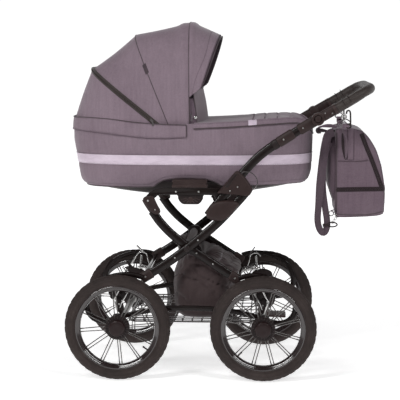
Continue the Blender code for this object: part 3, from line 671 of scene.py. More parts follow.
# wire tray under the basket
wires = []
x0, x1, yy, zz = -0.212, 0.217, 0.2120, 0.1870
loop = [(x0 + 0.02, -yy, zz), (x1 - 0.02, -yy, zz), (x1, -yy + 0.02, zz), (x1, yy - 0.02, zz), (x1 - 0.02, yy, zz),
        (x0 + 0.02, yy, zz), (x0, yy - 0.02, zz), (x0, -yy + 0.02, zz)]
wires.append(sweep(even(loop + [loop[0]], 120, True), circle(0.0029, 8), closed=True))
top_loop = [(p[0] * 1.0, p[1] * 0.985, 0.1985) for p in loop]
wires.append(sweep(even(top_loop + [top_loop[0]], 120, True), circle(0.0024, 8), closed=True))
for i in range(13):
    x = x0 + 0.018 + (x1 - x0 - 0.036) * i / 12
    wires.append(sweep([(x, -yy * 0.985, 0.1990), (x, -yy * 0.985, 0.1900), (x, -yy * 0.95, 0.1835), (x, 0, 0.1830), (x, yy * 0.95, 0.1835),
                        (x, yy * 0.985, 0.1900), (x, yy * 0.985, 0.1990)], circle(0.0018, 6)))
for i in range(7):
    y = -yy + 0.03 + (2 * yy - 0.06) * i / 6
    wires.append(sweep([(x0, y, 0.1985), (x0 + 0.002, y, 0.1900), (x0 + 0.010, y, 0.1865), (x1 - 0.010, y, 0.1865), (x1 - 0.002, y, 0.1900),
                        (x1, y, 0.1985)], circle(0.0018, 6)))
for sx in (-1, 1):
    for sy in (-1, 1):
        x = 0.195 if sx > 0 else -0.190
        wires.append(sweep([(x, sy * 0.2095, 0.199), (x, sy * 0.2150, 0.206), (x, sy * 0.2225, 0.2115)], circle(0.003, 8)))
add("wire_rack", joined(wires), NICKEL, "chassis", ("wire_tray",), 60)

# brake pedal
ped = [plate([(WX + 0.0150, 0.1700), (WX + 0.0740, 0.1680), (WX + 0.0770, 0.1715), (WX + 0.0740, 0.1765), (WX + 0.0150, 0.1780)],
             -0.040, 0.040, 0.002, 2)]
for k in range(5):
    ped.append(box((WX + 0.030 + 0.009 * k, -0.034, 0.1755), (WX + 0.034 + 0.009 * k, 0.034, 0.1795), 0.001, 1))
ped.append(lathe([(0.0108, -0.044), (0.0185, -0.044), (0.0195, -0.040), (0.0195, 0.040), (0.0185, 0.044), (0.0108, 0.044)], 32,
                 (WX, 0, WR), closed=True))
add("brake_pedal_look", joined(ped), PLASTIC, "brake", ("brake_pedal",))

# ------------------------------------------------------------------ spring arms
arm_xz = [(0.160, 0.343), (0.190, 0.351), (0.227, 0.352), (0.271, 0.343), (0.317, 0.320),
          (0.344, 0.281), (0.349, 0.235), (0.330, 0.204), (0.298, 0.192), (0.266, 0.198)]
for end, sx in ENDS:
    arm = flat_tube([(sx * x, z) for x, z in arm_xz], 0.245, 0.009, 0.5, 70, 16)
    for side, sy in SIDES:
        tag = "%s_%s" % (end, side)
        add("spring_arm_look_" + tag, moved(arm, mirror=sy < 0), BLACK, "suspension", ("spring_arm_" + tag,))
        coil = []
        turns, per = 9, 16
        for i in range(turns * per + 1):
            t = 2 * math.pi * i / per
            u = i / (turns * per)
            r = 0.0085 if 0.05 < u < 0.95 else 0.0080
            coil.append((sx * (0.163 + 0.053 * u), sy * (0.2300 + r * math.cos(t)), 0.292 + 0.006 * u + r * math.sin(t)))
        add("coil_look_" + tag, sweep(coil, circle(0.0015, 8)), CHROME, "suspension", ("coil_spring_" + tag,), 60)
        parts = [cyl((sx * 0.2150, sy * 0.2300, 0.294), (sx * 0.2130, sy * 0.2360, 0.3420), 0.0046, 14, 0.0008),
                 cyl((sx * 0.158, sy * 0.2300, 0.292), (sx * 0.228, sy * 0.2300, 0.299), 0.0030, 12, 0.0005),
                 cyl((sx * 0.2160, sy * 0.2300, 0.2975), (sx * 0.2200, sy * 0.2300, 0.2980), 0.0105, 18, 0.001),
                 cyl((sx * 0.1590, sy * 0.2300, 0.2917), (sx * 0.1625, sy * 0.2300, 0.2921), 0.0105, 18, 0.001)]
        add("spring_post_" + tag, joined(parts), CHROME, "suspension")
        post = [sweep(smooth([(sx * x, sy * 0.2330, z) for x, z in ((0.1890, 0.3370), (0.1950, 0.3480), (0.2080, 0.3525), (0.2220, 0.3500), (0.2300, 0.3400))], 20),
                      circle(0.0026, 10)),
                sweep(smooth([(sx * x, sy * 0.2310, z) for x, z in ((0.1905, 0.3330), (0.1880, 0.3230), (0.1840, 0.3120), (0.1810, 0.3000))], 14), circle(0.0013, 8)),
                sweep([(sx * 0.2400, sy * 0.2380, 0.300), (sx * 0.2600, sy * 0.2365, 0.262), (sx * 0.2460, sy * 0.2350, 0.222)], circle(0.0028, 8)),
                sweep([(sx * 0.2120, sy * 0.2380, 0.290), (sx * 0.2330, sy * 0.2370, 0.255), (sx * 0.2440, sy * 0.2350, 0.222)], circle(0.0024, 8))]
        if sx > 0:
            lever = [cyl((0.1865, sy * 0.2330, 0.3450), (0.2085, sy * 0.2330, 0.3754), 0.0021, 12, 0.0006)]
        else:
            post.append(cyl((-0.2060, sy * 0.2330, 0.3540), (-0.2300, sy * 0.2330, 0.3773), 0.0036, 14, 0.0012))
            post.append(cyl((-0.2485, sy * 0.2330, 0.3110), (-0.2320, sy * 0.2330, 0.3377), 0.0036, 14, 0.0012))
            post.append(cyl((-0.1860, sy * 0.2330, 0.2980), (-0.1640, sy * 0.2330, 0.3320), 0.0034, 14, 0.0012))
            lever = [cyl((-0.2690, sy * 0.2330, 0.3190), (-0.2360, sy * 0.2330, 0.2810), 0.0050, 14, 0.0012),
                     cyl((-0.2760, sy * 0.2330, 0.2860), (-0.2540, sy * 0.2330, 0.2940), 0.0085, 16, 0.0020)]
        add("spring_clamp_" + tag, joined(post), CHROME, "suspension")
        add("spring_lever_" + tag, joined(lever), NICKEL if sx > 0 else PLASTIC_DARK, "suspension")
        plate_o = [(sx * x, z) for x, z in ((0.196, 0.272), (0.206, 0.288), (0.240, 0.296), (0.268, 0.286), (0.272, 0.268), (0.250, 0.262), (0.215, 0.262))]
        add("spring_bracket_" + tag, plate(plate_o, sy * 0.2245, sy * 0.2285, 0.0015, 2, 40), PLASTIC_DARK, "suspension")
add("front_cross_look", joined([cyl((FOOT[0], -0.2235, FOOT[1]), (FOOT[0], 0.2235, FOOT[1]), 0.0085, 24, 0.001)]), BLACK, "suspension",
    ("front_cross_tube",))
add("rear_cross_look", joined([cyl((0.1560, -0.2390, 0.3050), (0.1560, 0.2390, 0.3050), 0.0080, 24, 0.001)]), BLACK, "suspension",
    ("rear_cross_tube",))

# ------------------------------------------------------------------ legs and handle tubes
front_xz = [(-0.1580, 0.3405), (-0.1034, 0.3745), (-0.0529, 0.4090), (-0.0130, 0.4395), (0.0242, 0.4695),
            (0.0593, 0.4995), (0.1026, 0.5400), (0.1507, 0.5926), (0.1722, 0.6170), (0.1880, 0.6365)]
both("front_leg_look", flat_tube(front_xz, 0.232, 0.015, 0.5, 80, 24), BLACK, "front_frame", "front_leg_{}")
rear_xz = [(-0.1310, 0.5620), (-0.1180, 0.5435), (-0.1045, 0.5250), (-0.0744, 0.4925), (-0.0374, 0.4610), (-0.0130, 0.4420),
           (0.0180, 0.4215), (0.0735, 0.3852), (0.1200, 0.3547), (0.1580, 0.3300)]
both("rear_leg_look", flat_tube(rear_xz, 0.206, 0.015, 0.5, 70, 24), BLACK, "rear_frame", "rear_leg_{}")
handle_xz = [(0.0580, 0.5520), (0.0676, 0.5655), (0.0942, 0.5985), (0.1240, 0.6342), (0.1537, 0.6710),
             (0.1834, 0.7060), (0.2098, 0.7346), (0.2361, 0.7585), (0.2656, 0.7808), (0.2951, 0.7996),
             (0.3328, 0.8228), (0.3606, 0.8394), (0.3860, 0.8545), (0.3995, 0.8626)]
both("handle_tube_look", flat_tube(handle_xz, 0.232, 0.015, 0.5, 90, 24), BLACK, "front_frame", "handle_tube_{}")


def collar(name, a, b, layer, half, ratio, mat, body, rivets=(), grow=0.0, out=1, node=None):
    """Moulded sleeve round a tube from a to b, with its rivets."""
    n = 8
    pts = [(a[0] + (b[0] - a[0]) * i / (n - 1), layer, a[1] + (b[1] - a[1]) * i / (n - 1)) for i in range(n)]
    me = sweep(pts, circle(half, 24, half * ratio), side=(0, 1, 0), scales=[1 + grow * i / (n - 1) for i in range(n)], round_end=0.004)
    both(name, me, mat, body, node)
    if rivets:
        both(name + "_rivet", joined([dot((x, layer + half * ratio - 0.0002, z), r, 1) for x, z, r in rivets]), STEEL, body)


collar("front_foot", (-0.1660, 0.3360), (-0.1300, 0.3582), 0.232, 0.0180, 0.50, PLASTIC, "front_frame", [(-0.1520, 0.3445, 0.0032)])
collar("rear_foot", (0.1300, 0.3482), (0.1640, 0.3262), 0.206, 0.0180, 0.50, PLASTIC, "rear_frame", [(0.1475, 0.3370, 0.0032)])
collar("tube_collar", (0.2880, 0.7945), (0.3400, 0.8275), 0.232, 0.0178, 0.52, PLASTIC, "front_frame", [(0.3070, 0.8065, 0.0030)])
collar("tube_collar_step", (0.2700, 0.7835), (0.2890, 0.7955), 0.232, 0.0166, 0.52, PLASTIC_DARK, "front_frame")
collar("knuckle_neck", (0.3560, 0.8366), (0.4110, 0.8694), 0.232, 0.0182, 0.50, PLASTIC, "front_frame", [(0.3700, 0.8450, 0.0030)])
for x, z in ((-0.0529, 0.4090), (0.0242, 0.4695)):
    both("leg_rivet_%d" % int(z * 1000), dot((x, 0.2393, z), 0.0030, 1), STEEL, "front_frame")
for x, z in ((0.0180, 0.4215), (0.0735, 0.3852)):
    both("rear_rivet_%d" % int(z * 1000), dot((x, 0.2133, z), 0.0030, 1), STEEL, "rear_frame")

# scissor joint
cx, cz = CROSS
both("pivot_cap", joined([lathe([(0.0, 0.2420), (0.0055, 0.2418), (0.0090, 0.2408), (0.0100, 0.2396), (0.0100, 0.2390)], 24, (cx, 0, cz))]),
     PLASTIC_DARK, "front_frame")
both("pivot_block", joined([plate([(cx - 0.022, cz - 0.010), (cx - 0.012, cz - 0.020), (cx + 0.016, cz - 0.020), (cx + 0.026, cz - 0.006),
                                   (cx + 0.022, cz + 0.014), (cx + 0.004, cz + 0.021), (cx - 0.018, cz + 0.016)], 0.1790, 0.1978, 0.004, 3, 48)]),
     PLASTIC_DARK, "front_frame")
add("pivot_tube_look", joined([cyl((cx, -0.1800, cz), (cx, 0.1800, cz), 0.0105, 24, 0.001), cyl((cx, -0.2240, cz), (cx, 0.2240, cz), 0.0045, 12)]),
    BLACK, "front_frame", ("pivot_tube",))

# fold covers
cover = [(0.0518, 0.5624), (0.0605, 0.5810), (0.0750, 0.5950), (0.1048, 0.6030), (0.1390, 0.6035), (0.1560, 0.5975),
         (0.1590, 0.5870), (0.1314, 0.5530), (0.1049, 0.5361), (0.0880, 0.5350), (0.0718, 0.5375), (0.0560, 0.5460)]


def inset(outline, k):
    c = Vector((sum(p[0] for p in outline) / len(outline), sum(p[1] for p in outline) / len(outline)))
    return [tuple(c + (Vector(p) - c) * k) for p in outline]


def domed(outline, levels, count=56):
    """Moulding built of nested outlines: levels = (scale, y)."""
    base = [(p.x, p.y) for p in smooth([(x, z, 0) for x, z in outline], count, True)]
    rs = [[(x, y, z) for x, z in inset(base, k)] for k, y in levels]
    return rings(rs)


both("fold_cover_look", domed(cover, [(0.95, 0.2216), (1.0, 0.2230), (1.0, 0.2425), (0.97, 0.2462), (0.90, 0.2490), (0.72, 0.2510), (0.40, 0.2518),
                                      (0.08, 0.2520)]), PLASTIC, "front_frame", "fold_cover_{}")

# lock sleeves with their wire bail
sleeve = [(0.0890, 0.6290), (0.0980, 0.6400), (0.1370, 0.6865), (0.1480, 0.6990), (0.1580, 0.7010), (0.1667, 0.6946), (0.1789, 0.6831),
          (0.1985, 0.6545), (0.2050, 0.6405), (0.2010, 0.6290), (0.1890, 0.6195), (0.1400, 0.6232), (0.1000, 0.6270)]
both("lock_sleeve_look", domed(sleeve, [(0.95, 0.2216), (1.0, 0.2236), (1.0, 0.2440), (0.975, 0.2476), (0.92, 0.2496), (0.80, 0.2500), (0.3, 0.2502)], 72),
     PLASTIC, "sleeve_{}", "lock_sleeve_{}")
both("sleeve_ridge", plate([(0.1130, 0.6500), (0.1480, 0.6930), (0.1560, 0.6900), (0.1230, 0.6470)], 0.2490, 0.2512, 0.0008, 2), PLASTIC_DARK,
     "sleeve_{}")
both("sleeve_bail", sweep(smooth([(0.1667, 0.2430, 0.6900), (0.1760, 0.2440, 0.7000), (0.2010, 0.2440, 0.6960), (0.2180, 0.2440, 0.6790),
                                  (0.2210, 0.2440, 0.6590), (0.2080, 0.2430, 0.6410), (0.1960, 0.2420, 0.6370)], 50), circle(0.0016, 8)),
     NICKEL, "sleeve_{}")
both("sleeve_rivet", joined([dot((0.1560, 0.2500, 0.6500), 0.0030, 1), dot((0.1310, 0.2500, 0.6360), 0.0024, 1)]), STEEL, "sleeve_{}")

# rear leg caps
cap_path = [(-0.1500, 0.6080), (-0.1440, 0.5960), (-0.1360, 0.5830), (-0.1270, 0.5700), (-0.1175, 0.5560)]
cap_look = joined([flat_tube(cap_path, 0.206, 0.0182, 0.46, 24, 24, rnd=0.004)])
both("rear_cap_look", cap_look, PLASTIC, "rear_frame", "rear_leg_cap_{}")
cheek = [(-0.1605, 0.6040), (-0.1560, 0.6110), (-0.1420, 0.6145), (-0.1300, 0.6150), (-0.1240, 0.6080), (-0.1130, 0.5850), (-0.1035, 0.5660), (-0.1050, 0.5560),
         (-0.1150, 0.5530), (-0.1275, 0.5570), (-0.1420, 0.5740), (-0.1550, 0.5930)]
both("rear_cap_cheek", domed(cheek, [(0.97, 0.2098), (1.0, 0.2108), (1.0, 0.2225), (0.97, 0.2238), (0.90, 0.2244), (0.5, 0.2246), (0.1, 0.2246)], 60), PLASTIC, "rear_frame")
both("rear_cap_rivet", joined([dot((-0.1440, 0.2246, 0.5990), 0.0034, 1), dot((-0.1200, 0.2246, 0.5690), 0.0024, 1)]), STEEL, "rear_frame")

# ------------------------------------------------------------------ seat frame
bar = [(-0.1585, 0.6000), (-0.1560, 0.5915), (-0.1463, 0.5870), (-0.1370, 0.5905), (-0.1240, 0.6050), (-0.1110, 0.6168), (-0.0900, 0.6185),
       (0.0600, 0.6185), (0.0780, 0.6170), (0.0860, 0.5870), (0.0920, 0.5800), (0.1040, 0.5800), (0.1090, 0.5870), (0.1130, 0.6100),
       (0.1110, 0.6380), (0.1040, 0.6425), (-0.0900, 0.6425), (-0.1180, 0.6380), (-0.1380, 0.6270), (-0.1500, 0.6150)]
barm = plate(bar, 0.2150, 0.2208, 0.0016, 2)
add("seat_bar_left", moved(barm, mirror=True), BLACK, "seat", ("seat_frame",))
add("seat_bar_right", barm.copy(), BLACK, "seat")
add("seat_cross_rod", joined([cyl((0.098, -0.2180, 0.5895), (0.098, 0.2180, 0.5895), 0.0070, 20, 0.001)]), BLACK, "seat")
both("seat_rivets", joined([dot((x, 0.2208, 0.6300), 0.0036, 1) for x in (-0.0500, 0.0260, 0.0940)]
                           ), STEEL, "seat")
lev = [(-0.0450, 0.6270), (-0.0440, 0.6130)] + [(-0.002 + 0.0425 * math.cos(math.radians(a)), max(0.5862, 0.6130 + 0.0330 * math.sin(math.radians(a))))
                                                  for a in range(190, 351, 10)] + [(0.0400, 0.6130), (0.0410, 0.6270)]
both("latch_lever_look", domed(lev, [(0.96, 0.2003), (1.0, 0.2015), (1.0, 0.2120), (0.97, 0.2138), (0.92, 0.2143), (0.3, 0.2144)], 60), PLASTIC_DARK,
     "latch_{}", "latch_lever_{}")
# the part of the lever that shows below the bar, with its ribs
ribs = []
for k in range(7):
    a = math.radians(205 + 130 * k / 6)
    c, s = math.cos(a), math.sin(a)
    ribs.append(cyl((-0.002 + 0.014 * c, 0.2146, 0.6120 + 0.010 * s), (-0.002 + 0.036 * c, 0.2146, 0.6120 + 0.0245 * s), 0.0014, 8))
ribs.append(lathe([(0.0, 0.2162), (0.0070, 0.2160), (0.0090, 0.2150), (0.0092, 0.2140)], 24, (-0.002, 0, 0.6020)))
both("latch_lever_ribs", joined(ribs), PLASTIC, "latch_{}")

# ------------------------------------------------------------------ adapters on the carrycot
blk = [box((-0.0640, 0.1850, 0.6432), (0.0550, 0.2222, 0.6535), 0.0022, 2), box((-0.0625, 0.1850, 0.6545), (0.0535, 0.2205, 0.6700), 0.0035, 3),
       box((-0.0600, 0.1850, 0.6520), (0.0510, 0.2195, 0.6560), 0.0005, 1), box((-0.0110, 0.2150, 0.6450), (0.0020, 0.2232, 0.6515), 0.0015, 2)]
both("adapter_look", joined(blk), PLASTIC, "cot", "cot_adapter_{}")


# ------------------------------------------------------------------ cloth tools
def curve(pairs):
    """Smooth function through (input, output) pairs."""
    xs = [p[0] for p in pairs]
    ys = [p[1] for p in pairs]

    def f(x):
        if x <= xs[0]:
            return ys[0]
        if x >= xs[-1]:
            return ys[-1]
        i = max(k for k in range(len(xs) - 1) if xs[k] <= x)
        t = (x - xs[i]) / (xs[i + 1] - xs[i])
        m0 = (ys[i + 1] - ys[max(0, i - 1)]) / (xs[i + 1] - xs[max(0, i - 1)])
        j = min(len(xs) - 1, i + 2)
        m1 = (ys[j] - ys[i]) / (xs[j] - xs[i])
        h = xs[i + 1] - xs[i]
        return ((2 * t ** 3 - 3 * t * t + 1) * ys[i] + (t ** 3 - 2 * t * t + t) * h * m0
                + (3 * t * t - 2 * t ** 3) * ys[i + 1] + (t ** 3 - t * t) * h * m1)
    return f


def step(a, b, x):
    t = max(0.0, min(1.0, (x - a) / (b - a)))
    return t * t * (3 - 2 * t)


def normals(rows, core, closed=False):
    """Unit normals of a grid of points, turned away from core(point)."""
    p = np.array([[tuple(v) for v in r] for r in rows])
    du = np.roll(p, -1, 1) - np.roll(p, 1, 1) if closed else np.gradient(p, axis=1)
    dv = np.gradient(p, axis=0)
    n = np.cross(du, dv)
    n /= np.maximum(np.linalg.norm(n, axis=2, keepdims=True), 1e-12)
    out = np.array([[tuple(Vector(v) - Vector(core(v))) for v in r] for r in rows])
    n *= np.where((n * out).sum(2, keepdims=True) < 0, -1.0, 1.0)
    return n


def pushed(rows, core, dist, closed=False):
    """Grid moved along its outward normals by dist, or by dist(i, j, point)."""
    n = normals(rows, core, closed)
    out = []
    for i, r in enumerate(rows):
        out.append([Vector(v) + Vector(n[i][j]) * (dist(i, j, v) if callable(dist) else dist) for j, v in enumerate(r)])
    return out


def skin(rows, core, t, closed=False):
    """Thin closed cloth of thickness t inward from a grid."""
    inner = pushed(rows, core, -t, closed)
    me = joined([grid(rows, close_u=closed), grid(inner, close_u=closed)])
    n, k = len(rows), len(rows[0])
    bm = bmesh.new()
    bm.from_mesh(me)
    bm.verts.ensure_lookup_table()
    v = bm.verts
    base = n * k

    def q(a, b, c, d):
        try:
            bm.faces.new((v[a], v[b], v[c], v[d]))
        except ValueError:
            pass
    for j in range(k if closed else k - 1):
        j2 = (j + 1) % k
        q(j, j2, base + j2, base + j)
        e = (n - 1) * k
        q(e + j, e + j2, base + e + j2, base + e + j)
    if not closed:
        for i in range(n - 1):
            a, b = i * k, (i + 1) * k
            q(a, b, base + b, base + a)
            q(a + k - 1, b + k - 1, base + b + k - 1, base + a + k - 1)
    bmesh.ops.remove_doubles(bm, verts=bm.verts, dist=1e-6)
    bmesh.ops.dissolve_degenerate(bm, edges=bm.edges, dist=1e-7)
    bmesh.ops.recalc_face_normals(bm, faces=bm.faces)
    bm.to_mesh(me)
    bm.free()
    return me


def tack(points, outs, pitch=0.0042, long=0.0028, r=0.00038):
    """Row of stitches along points, standing on a surface whose outward vectors are outs."""
    d = [0.0]
    for a, b in zip(points, points[1:]):
        d.append(d[-1] + (b - a).length)
    parts = []
    s = pitch / 2
    j = 0
    while s < d[-1] - long:
        while j < len(d) - 2 and d[j + 1] < s:
            j += 1
        t = (s - d[j]) / max(1e-9, d[j + 1] - d[j])
        p = points[j].lerp(points[j + 1], t)
        u = (points[j + 1] - points[j]).normalized()
        o = outs[j].normalized() * 0.00035
        a, b = p - u * long / 2 + o, p + u * long / 2 + o
        parts.append(sweep([a - o * 1.6, a + o * 0.3, b + o * 0.3, b - o * 1.6], circle(r, 5)))
        s += pitch
    return joined(parts)


def zipper(points, outs, width_dir, pitch=0.0030):
    """Two rows of meshed zip teeth along points."""
    pts = even(points, max(4, int(sum((b - a).length for a, b in zip(points, points[1:])) / pitch)))
    k = len(points)
    parts = []
    for i in range(len(pts) - 1):
        f = i / (len(pts) - 1) * (k - 1)
        o, w = outs[int(f)].normalized(), width_dir[int(f)].normalized()
        u = (pts[i + 1] - pts[i]).normalized()
        c = pts[i] + w * (0.0009 if i % 2 else -0.0009) + o * 0.0004
        b = box((-0.00075, -0.0016, -0.0006), (0.00075, 0.0016, 0.0008))
        b.transform(Matrix.Translation(c) @ Matrix((u, w, o)).transposed().to_4x4())
        parts.append(b)
    return joined(parts)


def puff(me, voxel, cap, pin=None, pressure=4.0, after=1):
    """Swells a sewn cover with the cloth simulation. A point moves cap at most, and pinned points stay."""
    ob = bpy.data.objects.new("puff", me)
    bpy.context.scene.collection.objects.link(ob)
    rm = ob.modifiers.new("r", "REMESH")
    rm.mode = "VOXEL"
    rm.voxel_size = voxel
    bpy.context.view_layer.update()
    dg = bpy.context.evaluated_depsgraph_get()
    base = bpy.data.meshes.new_from_object(ob.evaluated_get(dg))
    bpy.data.objects.remove(ob, do_unlink=True)
    ob = bpy.data.objects.new("puff", base)
    bpy.context.scene.collection.objects.link(ob)
    rest = [v.co.copy() for v in base.vertices]
    cl = ob.modifiers.new("c", "CLOTH")
    st = cl.settings
    st.use_pressure = True
    st.uniform_pressure_force = pressure
    st.effector_weights.gravity = 0.0
    st.quality = 5
    st.mass = 0.3
    st.tension_stiffness = st.compression_stiffness = 15
    st.bending_stiffness = 0.5
    if pin:
        g = ob.vertex_groups.new(name="pin")
        for i, co in enumerate(rest):
            w = pin(co)
            if w > 0:
                g.add([i], w, "REPLACE")
        st.vertex_group_mass = "pin"
    sc = bpy.context.scene
    sc.frame_start, sc.frame_end = 1, 20
    cl.point_cache.frame_start, cl.point_cache.frame_end = 1, 20
    for f in range(1, 21):
        sc.frame_set(f)
    out = bpy.data.meshes.new_from_object(ob.evaluated_get(bpy.context.evaluated_depsgraph_get()))
    bpy.data.objects.remove(ob, do_unlink=True)
    sc.frame_set(1)
    for v, r in zip(out.vertices, rest):
        d = v.co - r
        if d.length > cap:
            v.co = r + d.normalized() * cap
    out = modify(out, ("SMOOTH", dict(factor=0.5, iterations=3)))
    return subdivided(out, after) if after else out


# ------------------------------------------------------------------ carrycot
LEV = [(-0.372, 0.366, 0.166, 0.6405), (-0.387, 0.386, 0.178, 0.655), (-0.3955, 0.4000, 0.188, 0.690),
       (-0.4040, 0.4035, 0.194, 0.740), (-0.4115, 0.4045, 0.198, 0.790), (-0.4130, 0.4045, 0.200, 0.830), (-0.4130, 0.4040, 0.2005, 0.880)]
cot_lo, cot_hi, cot_half = (curve([(lv[3], lv[k]) for lv in LEV]) for k in range(3))
NC = 288


def plan(z, n=NC, p=3.2, grow=0.0):
    """Points of the cot's outline at height z, evenly spaced, from the rear-most point round the near side."""
    x0, x1, b = cot_lo(z) - grow, cot_hi(z) + grow, cot_half(z) + grow
    c, a = (x0 + x1) / 2, (x1 - x0) / 2
    pts = []
    for i in range(721):
        t = math.pi + 2 * math.pi * i / 720
        ct, st = math.cos(t), math.sin(t)
        pts.append(Vector((c + a * math.copysign(abs(ct) ** (2 / p), ct), b * math.copysign(abs(st) ** (2 / p), st), z)))
    return even(pts, n, True)


def cot_core(v):
    return (max(-0.25, min(0.24, v[0])), 0.0, v[2])


PLAN0 = plan(0.76)
rim_z = curve([(-0.42, 0.8480), (-0.10, 0.8510), (-0.0149, 0.8537), (0.0286, 0.8555), (0.162, 0.8626), (0.2617, 0.8696), (0.3611, 0.8720), (0.390, 0.8600),
               (0.4045, 0.8400)])
hem_z = curve([(-0.40, 0.6365), (-0.20, 0.6370), (-0.15, 0.6400), (-0.128, 0.6500), (-0.105, 0.6620), (-0.060, 0.6700), (0.010, 0.6710), (0.060, 0.6660),
               (0.088, 0.6560), (0.112, 0.6460), (0.20, 0.6470), (0.38, 0.6510)])


def side_point(j, v, grow):
    x = PLAN0[j].x
    lo = hem_z(x) if abs(PLAN0[j].y) > 0.12 else 0.6365 + 0.0145 * step(-0.3, 0.3, x)
    z = lo + (rim_z(x) - lo) * v
    return z


rows = []
NV = 46
for i in range(NV + 1):
    v = i / NV
    zs = [side_point(j, v, 0) for j in range(NC)]
    cache = {}
    row = []
    for j in range(NC):
        z = zs[j]
        k0 = round(z, 3)
        if k0 not in cache:
            cache[k0] = plan(k0)
        q = cache[k0][j]
        row.append(Vector((q.x, q.y, z)))
    rows.append(row)


def side_relief(i, j, p):
    v = i / NV
    x, y, z = p
    pad = 0.0022 + 0.0020 * math.sin(math.pi * min(1.0, max(0.0, (z - 0.640) / 0.075))) + 0.0016 * math.sin(math.pi * min(1.0, max(0.0, (z - 0.748) / 0.10)))
    pucker = math.exp(-((z - hem_z(x)) / 0.022) ** 2)
    g = wrinkle((x * 3.2 + y * 2.0, 0, z * 0.55), 26.0, 3.0)
    w = 0.0009 * wrinkle(p, 9.0, 1.0) + 0.0008 * wrinkle((x, y, z * 2.2), 21.0, 5.0)
    band = math.exp(-((z - 0.716) / 0.004) ** 2) + math.exp(-((z - 0.748) / 0.004) ** 2)
    edge = -0.0016 * math.exp(-((z - hem_z(x)) / 0.0045) ** 2)
    return pad + w + 0.0013 * pucker * g - 0.0011 * band + edge


cot_rows = pushed(rows, cot_core, side_relief, True)
cot_side = skin(cot_rows, cot_core, 0.0042, True)
cot = add("cot_side_cover", cot_side, MAUVE, "cot", ("cot_tub",), 60)

# satin stripe round the cot, a little proud of the cover
bot, top = curve([(-0.42, 0.7165), (0.0, 0.7165), (0.41, 0.7175)]), curve([(-0.42, 0.7480), (0.0, 0.7482), (0.41, 0.7500)])
srows = [[(j, bot(PLAN0[j].x) + (top(PLAN0[j].x) - bot(PLAN0[j].x)) * k / 6) for j in range(NC)] for k in range(7)]
plans = {}


def plan_at(z, j, p=3.2):
    k0 = round(z, 4)
    if k0 not in plans:
        plans[k0] = plan(k0, p=p)
    q = plans[k0][j]
    return Vector((q.x, q.y, z))


srows = [[plan_at(z, j) for j, z in r] for r in srows]
srows = pushed(srows, cot_core, lambda i, j, p: 0.0036 + 0.0006 * math.sin(math.pi * i / 6) + 0.0005 * wrinkle(p, 14.0, 2.0), True)
add("cot_stripe_edge", sweep([srows[6][j] for j in range(NC)], circle(0.0011, 8), closed=True), STRIPE, "cot")
add("cot_stripe_seam", tack([srows[0][j] + Vector((0, 0, 0.0022)) for j in range(NC)], [Vector(v) for v in normals(srows, cot_core, True)[0]], 0.0060, 0.0036, 0.0004), MAUVE, "cot")
stripe = add("cot_stripe", skin(srows, cot_core, 0.0012, True), STRIPE, "cot", (), 60)

# rolled hem and the stitching above it
hem_path = [cot_rows[0][j] + Vector((0, 0, 0.0012)) for j in range(NC)]
add("cot_hem_roll", sweep(hem_path, circle(0.0021, 8), closed=True), PIPING, "cot")
stitch_rows = [cot_rows[3][j] for j in range(NC)]
nn = normals(cot_rows, cot_core, True)
add("cot_hem_stitch", tack(stitch_rows + [stitch_rows[0]], [Vector(nn[3][j]) for j in range(NC)] + [Vector(nn[3][0])], 0.0060, 0.0038, 0.00045), MAUVE_DEEP, "cot")

# moulded base pan
pan = [(0.6060, -0.135, 0.090, 0.1000), (0.6100, -0.176, 0.136, 0.1120), (0.6170, -0.238, 0.192, 0.1240), (0.6270, -0.302, 0.252, 0.1360),
       (0.6360, -0.332, 0.304, 0.1460), (0.6470, -0.358, 0.348, 0.1560), (0.6570, -0.368, 0.3640, 0.1630)]
prow = []
plo, phi, pha = (curve([(q[0], q[k]) for q in pan]) for k in (1, 2, 3))
for k in range(19):
    z = 0.6060 + 0.0510 * k / 18
    x0, x1, b = plo(z), phi(z), pha(z)
    c, a = (x0 + x1) / 2, (x1 - x0) / 2
    pts = []
    for i in range(361):
        t = 2 * math.pi * i / 360
        ct, st = math.cos(t), math.sin(t)
        pts.append(Vector((c + a * math.copysign(abs(ct) ** 0.6, ct), b * math.copysign(abs(st) ** 0.6, st), z)))
    prow.append(even(pts, 160, True))
pan_me = rings(prow)
groove = []
for y in (-0.070, -0.035, 0.0, 0.035, 0.070):
    groove.append(box((-0.125, y - 0.005, 0.6038), (0.080, y + 0.005, 0.6075), 0.0012, 2))
add("cot_base_pan", pan_me, PLASTIC_DARK, "cot", ("cot_base",), 35)
add("cot_base_ribs", joined(groove), PLASTIC_DARK, "cot")

# lining of the tub
lrows = []
for k in range(15):
    v = k / 14
    row = []
    for j in range(0, NC, 2):
        z = 0.658 + (rim_z(PLAN0[j].x) - 0.004 - 0.658) * v
        row.append(plan_at(round(z, 3), j))
    lrows.append(row)
lrows = pushed(lrows, cot_core, lambda i, j, p: -0.0088 + 0.0012 * wrinkle(p, 16.0, 8.0), True)
lin = add("cot_lining", skin(lrows, cot_core, 0.0012, True), LINING, "cot", (), 60)
floor_rows = []
for k in range(9):
    s = 1.0 - 0.11 * k
    floor_rows.append([Vector((p.x * s, p.y * s, 0.6590)) for p in lrows[0]])
tub_floor = rings([[Vector((p.x, p.y, 0.6570)) for p in floor_rows[0]], floor_rows[0]])
add("cot_floor_board", tub_floor, LINING, "cot", (), 40)

# mattress, swelled by the simulation and tufted
mat_rows = []
for z, s in ((0.6610, 0.955), (0.6640, 0.975), (0.6750, 0.985), (0.6900, 0.985), (0.7010, 0.970), (0.7050, 0.940)):
    mat_rows.append([Vector((-0.005 + (p.x + 0.005) * s * 0.925, p.y * s * 0.915, z)) for p in plan(0.700, 120)])
tufts = [(-0.24 + 0.12 * i, y) for i in range(5) for y in (-0.075, 0.075)]


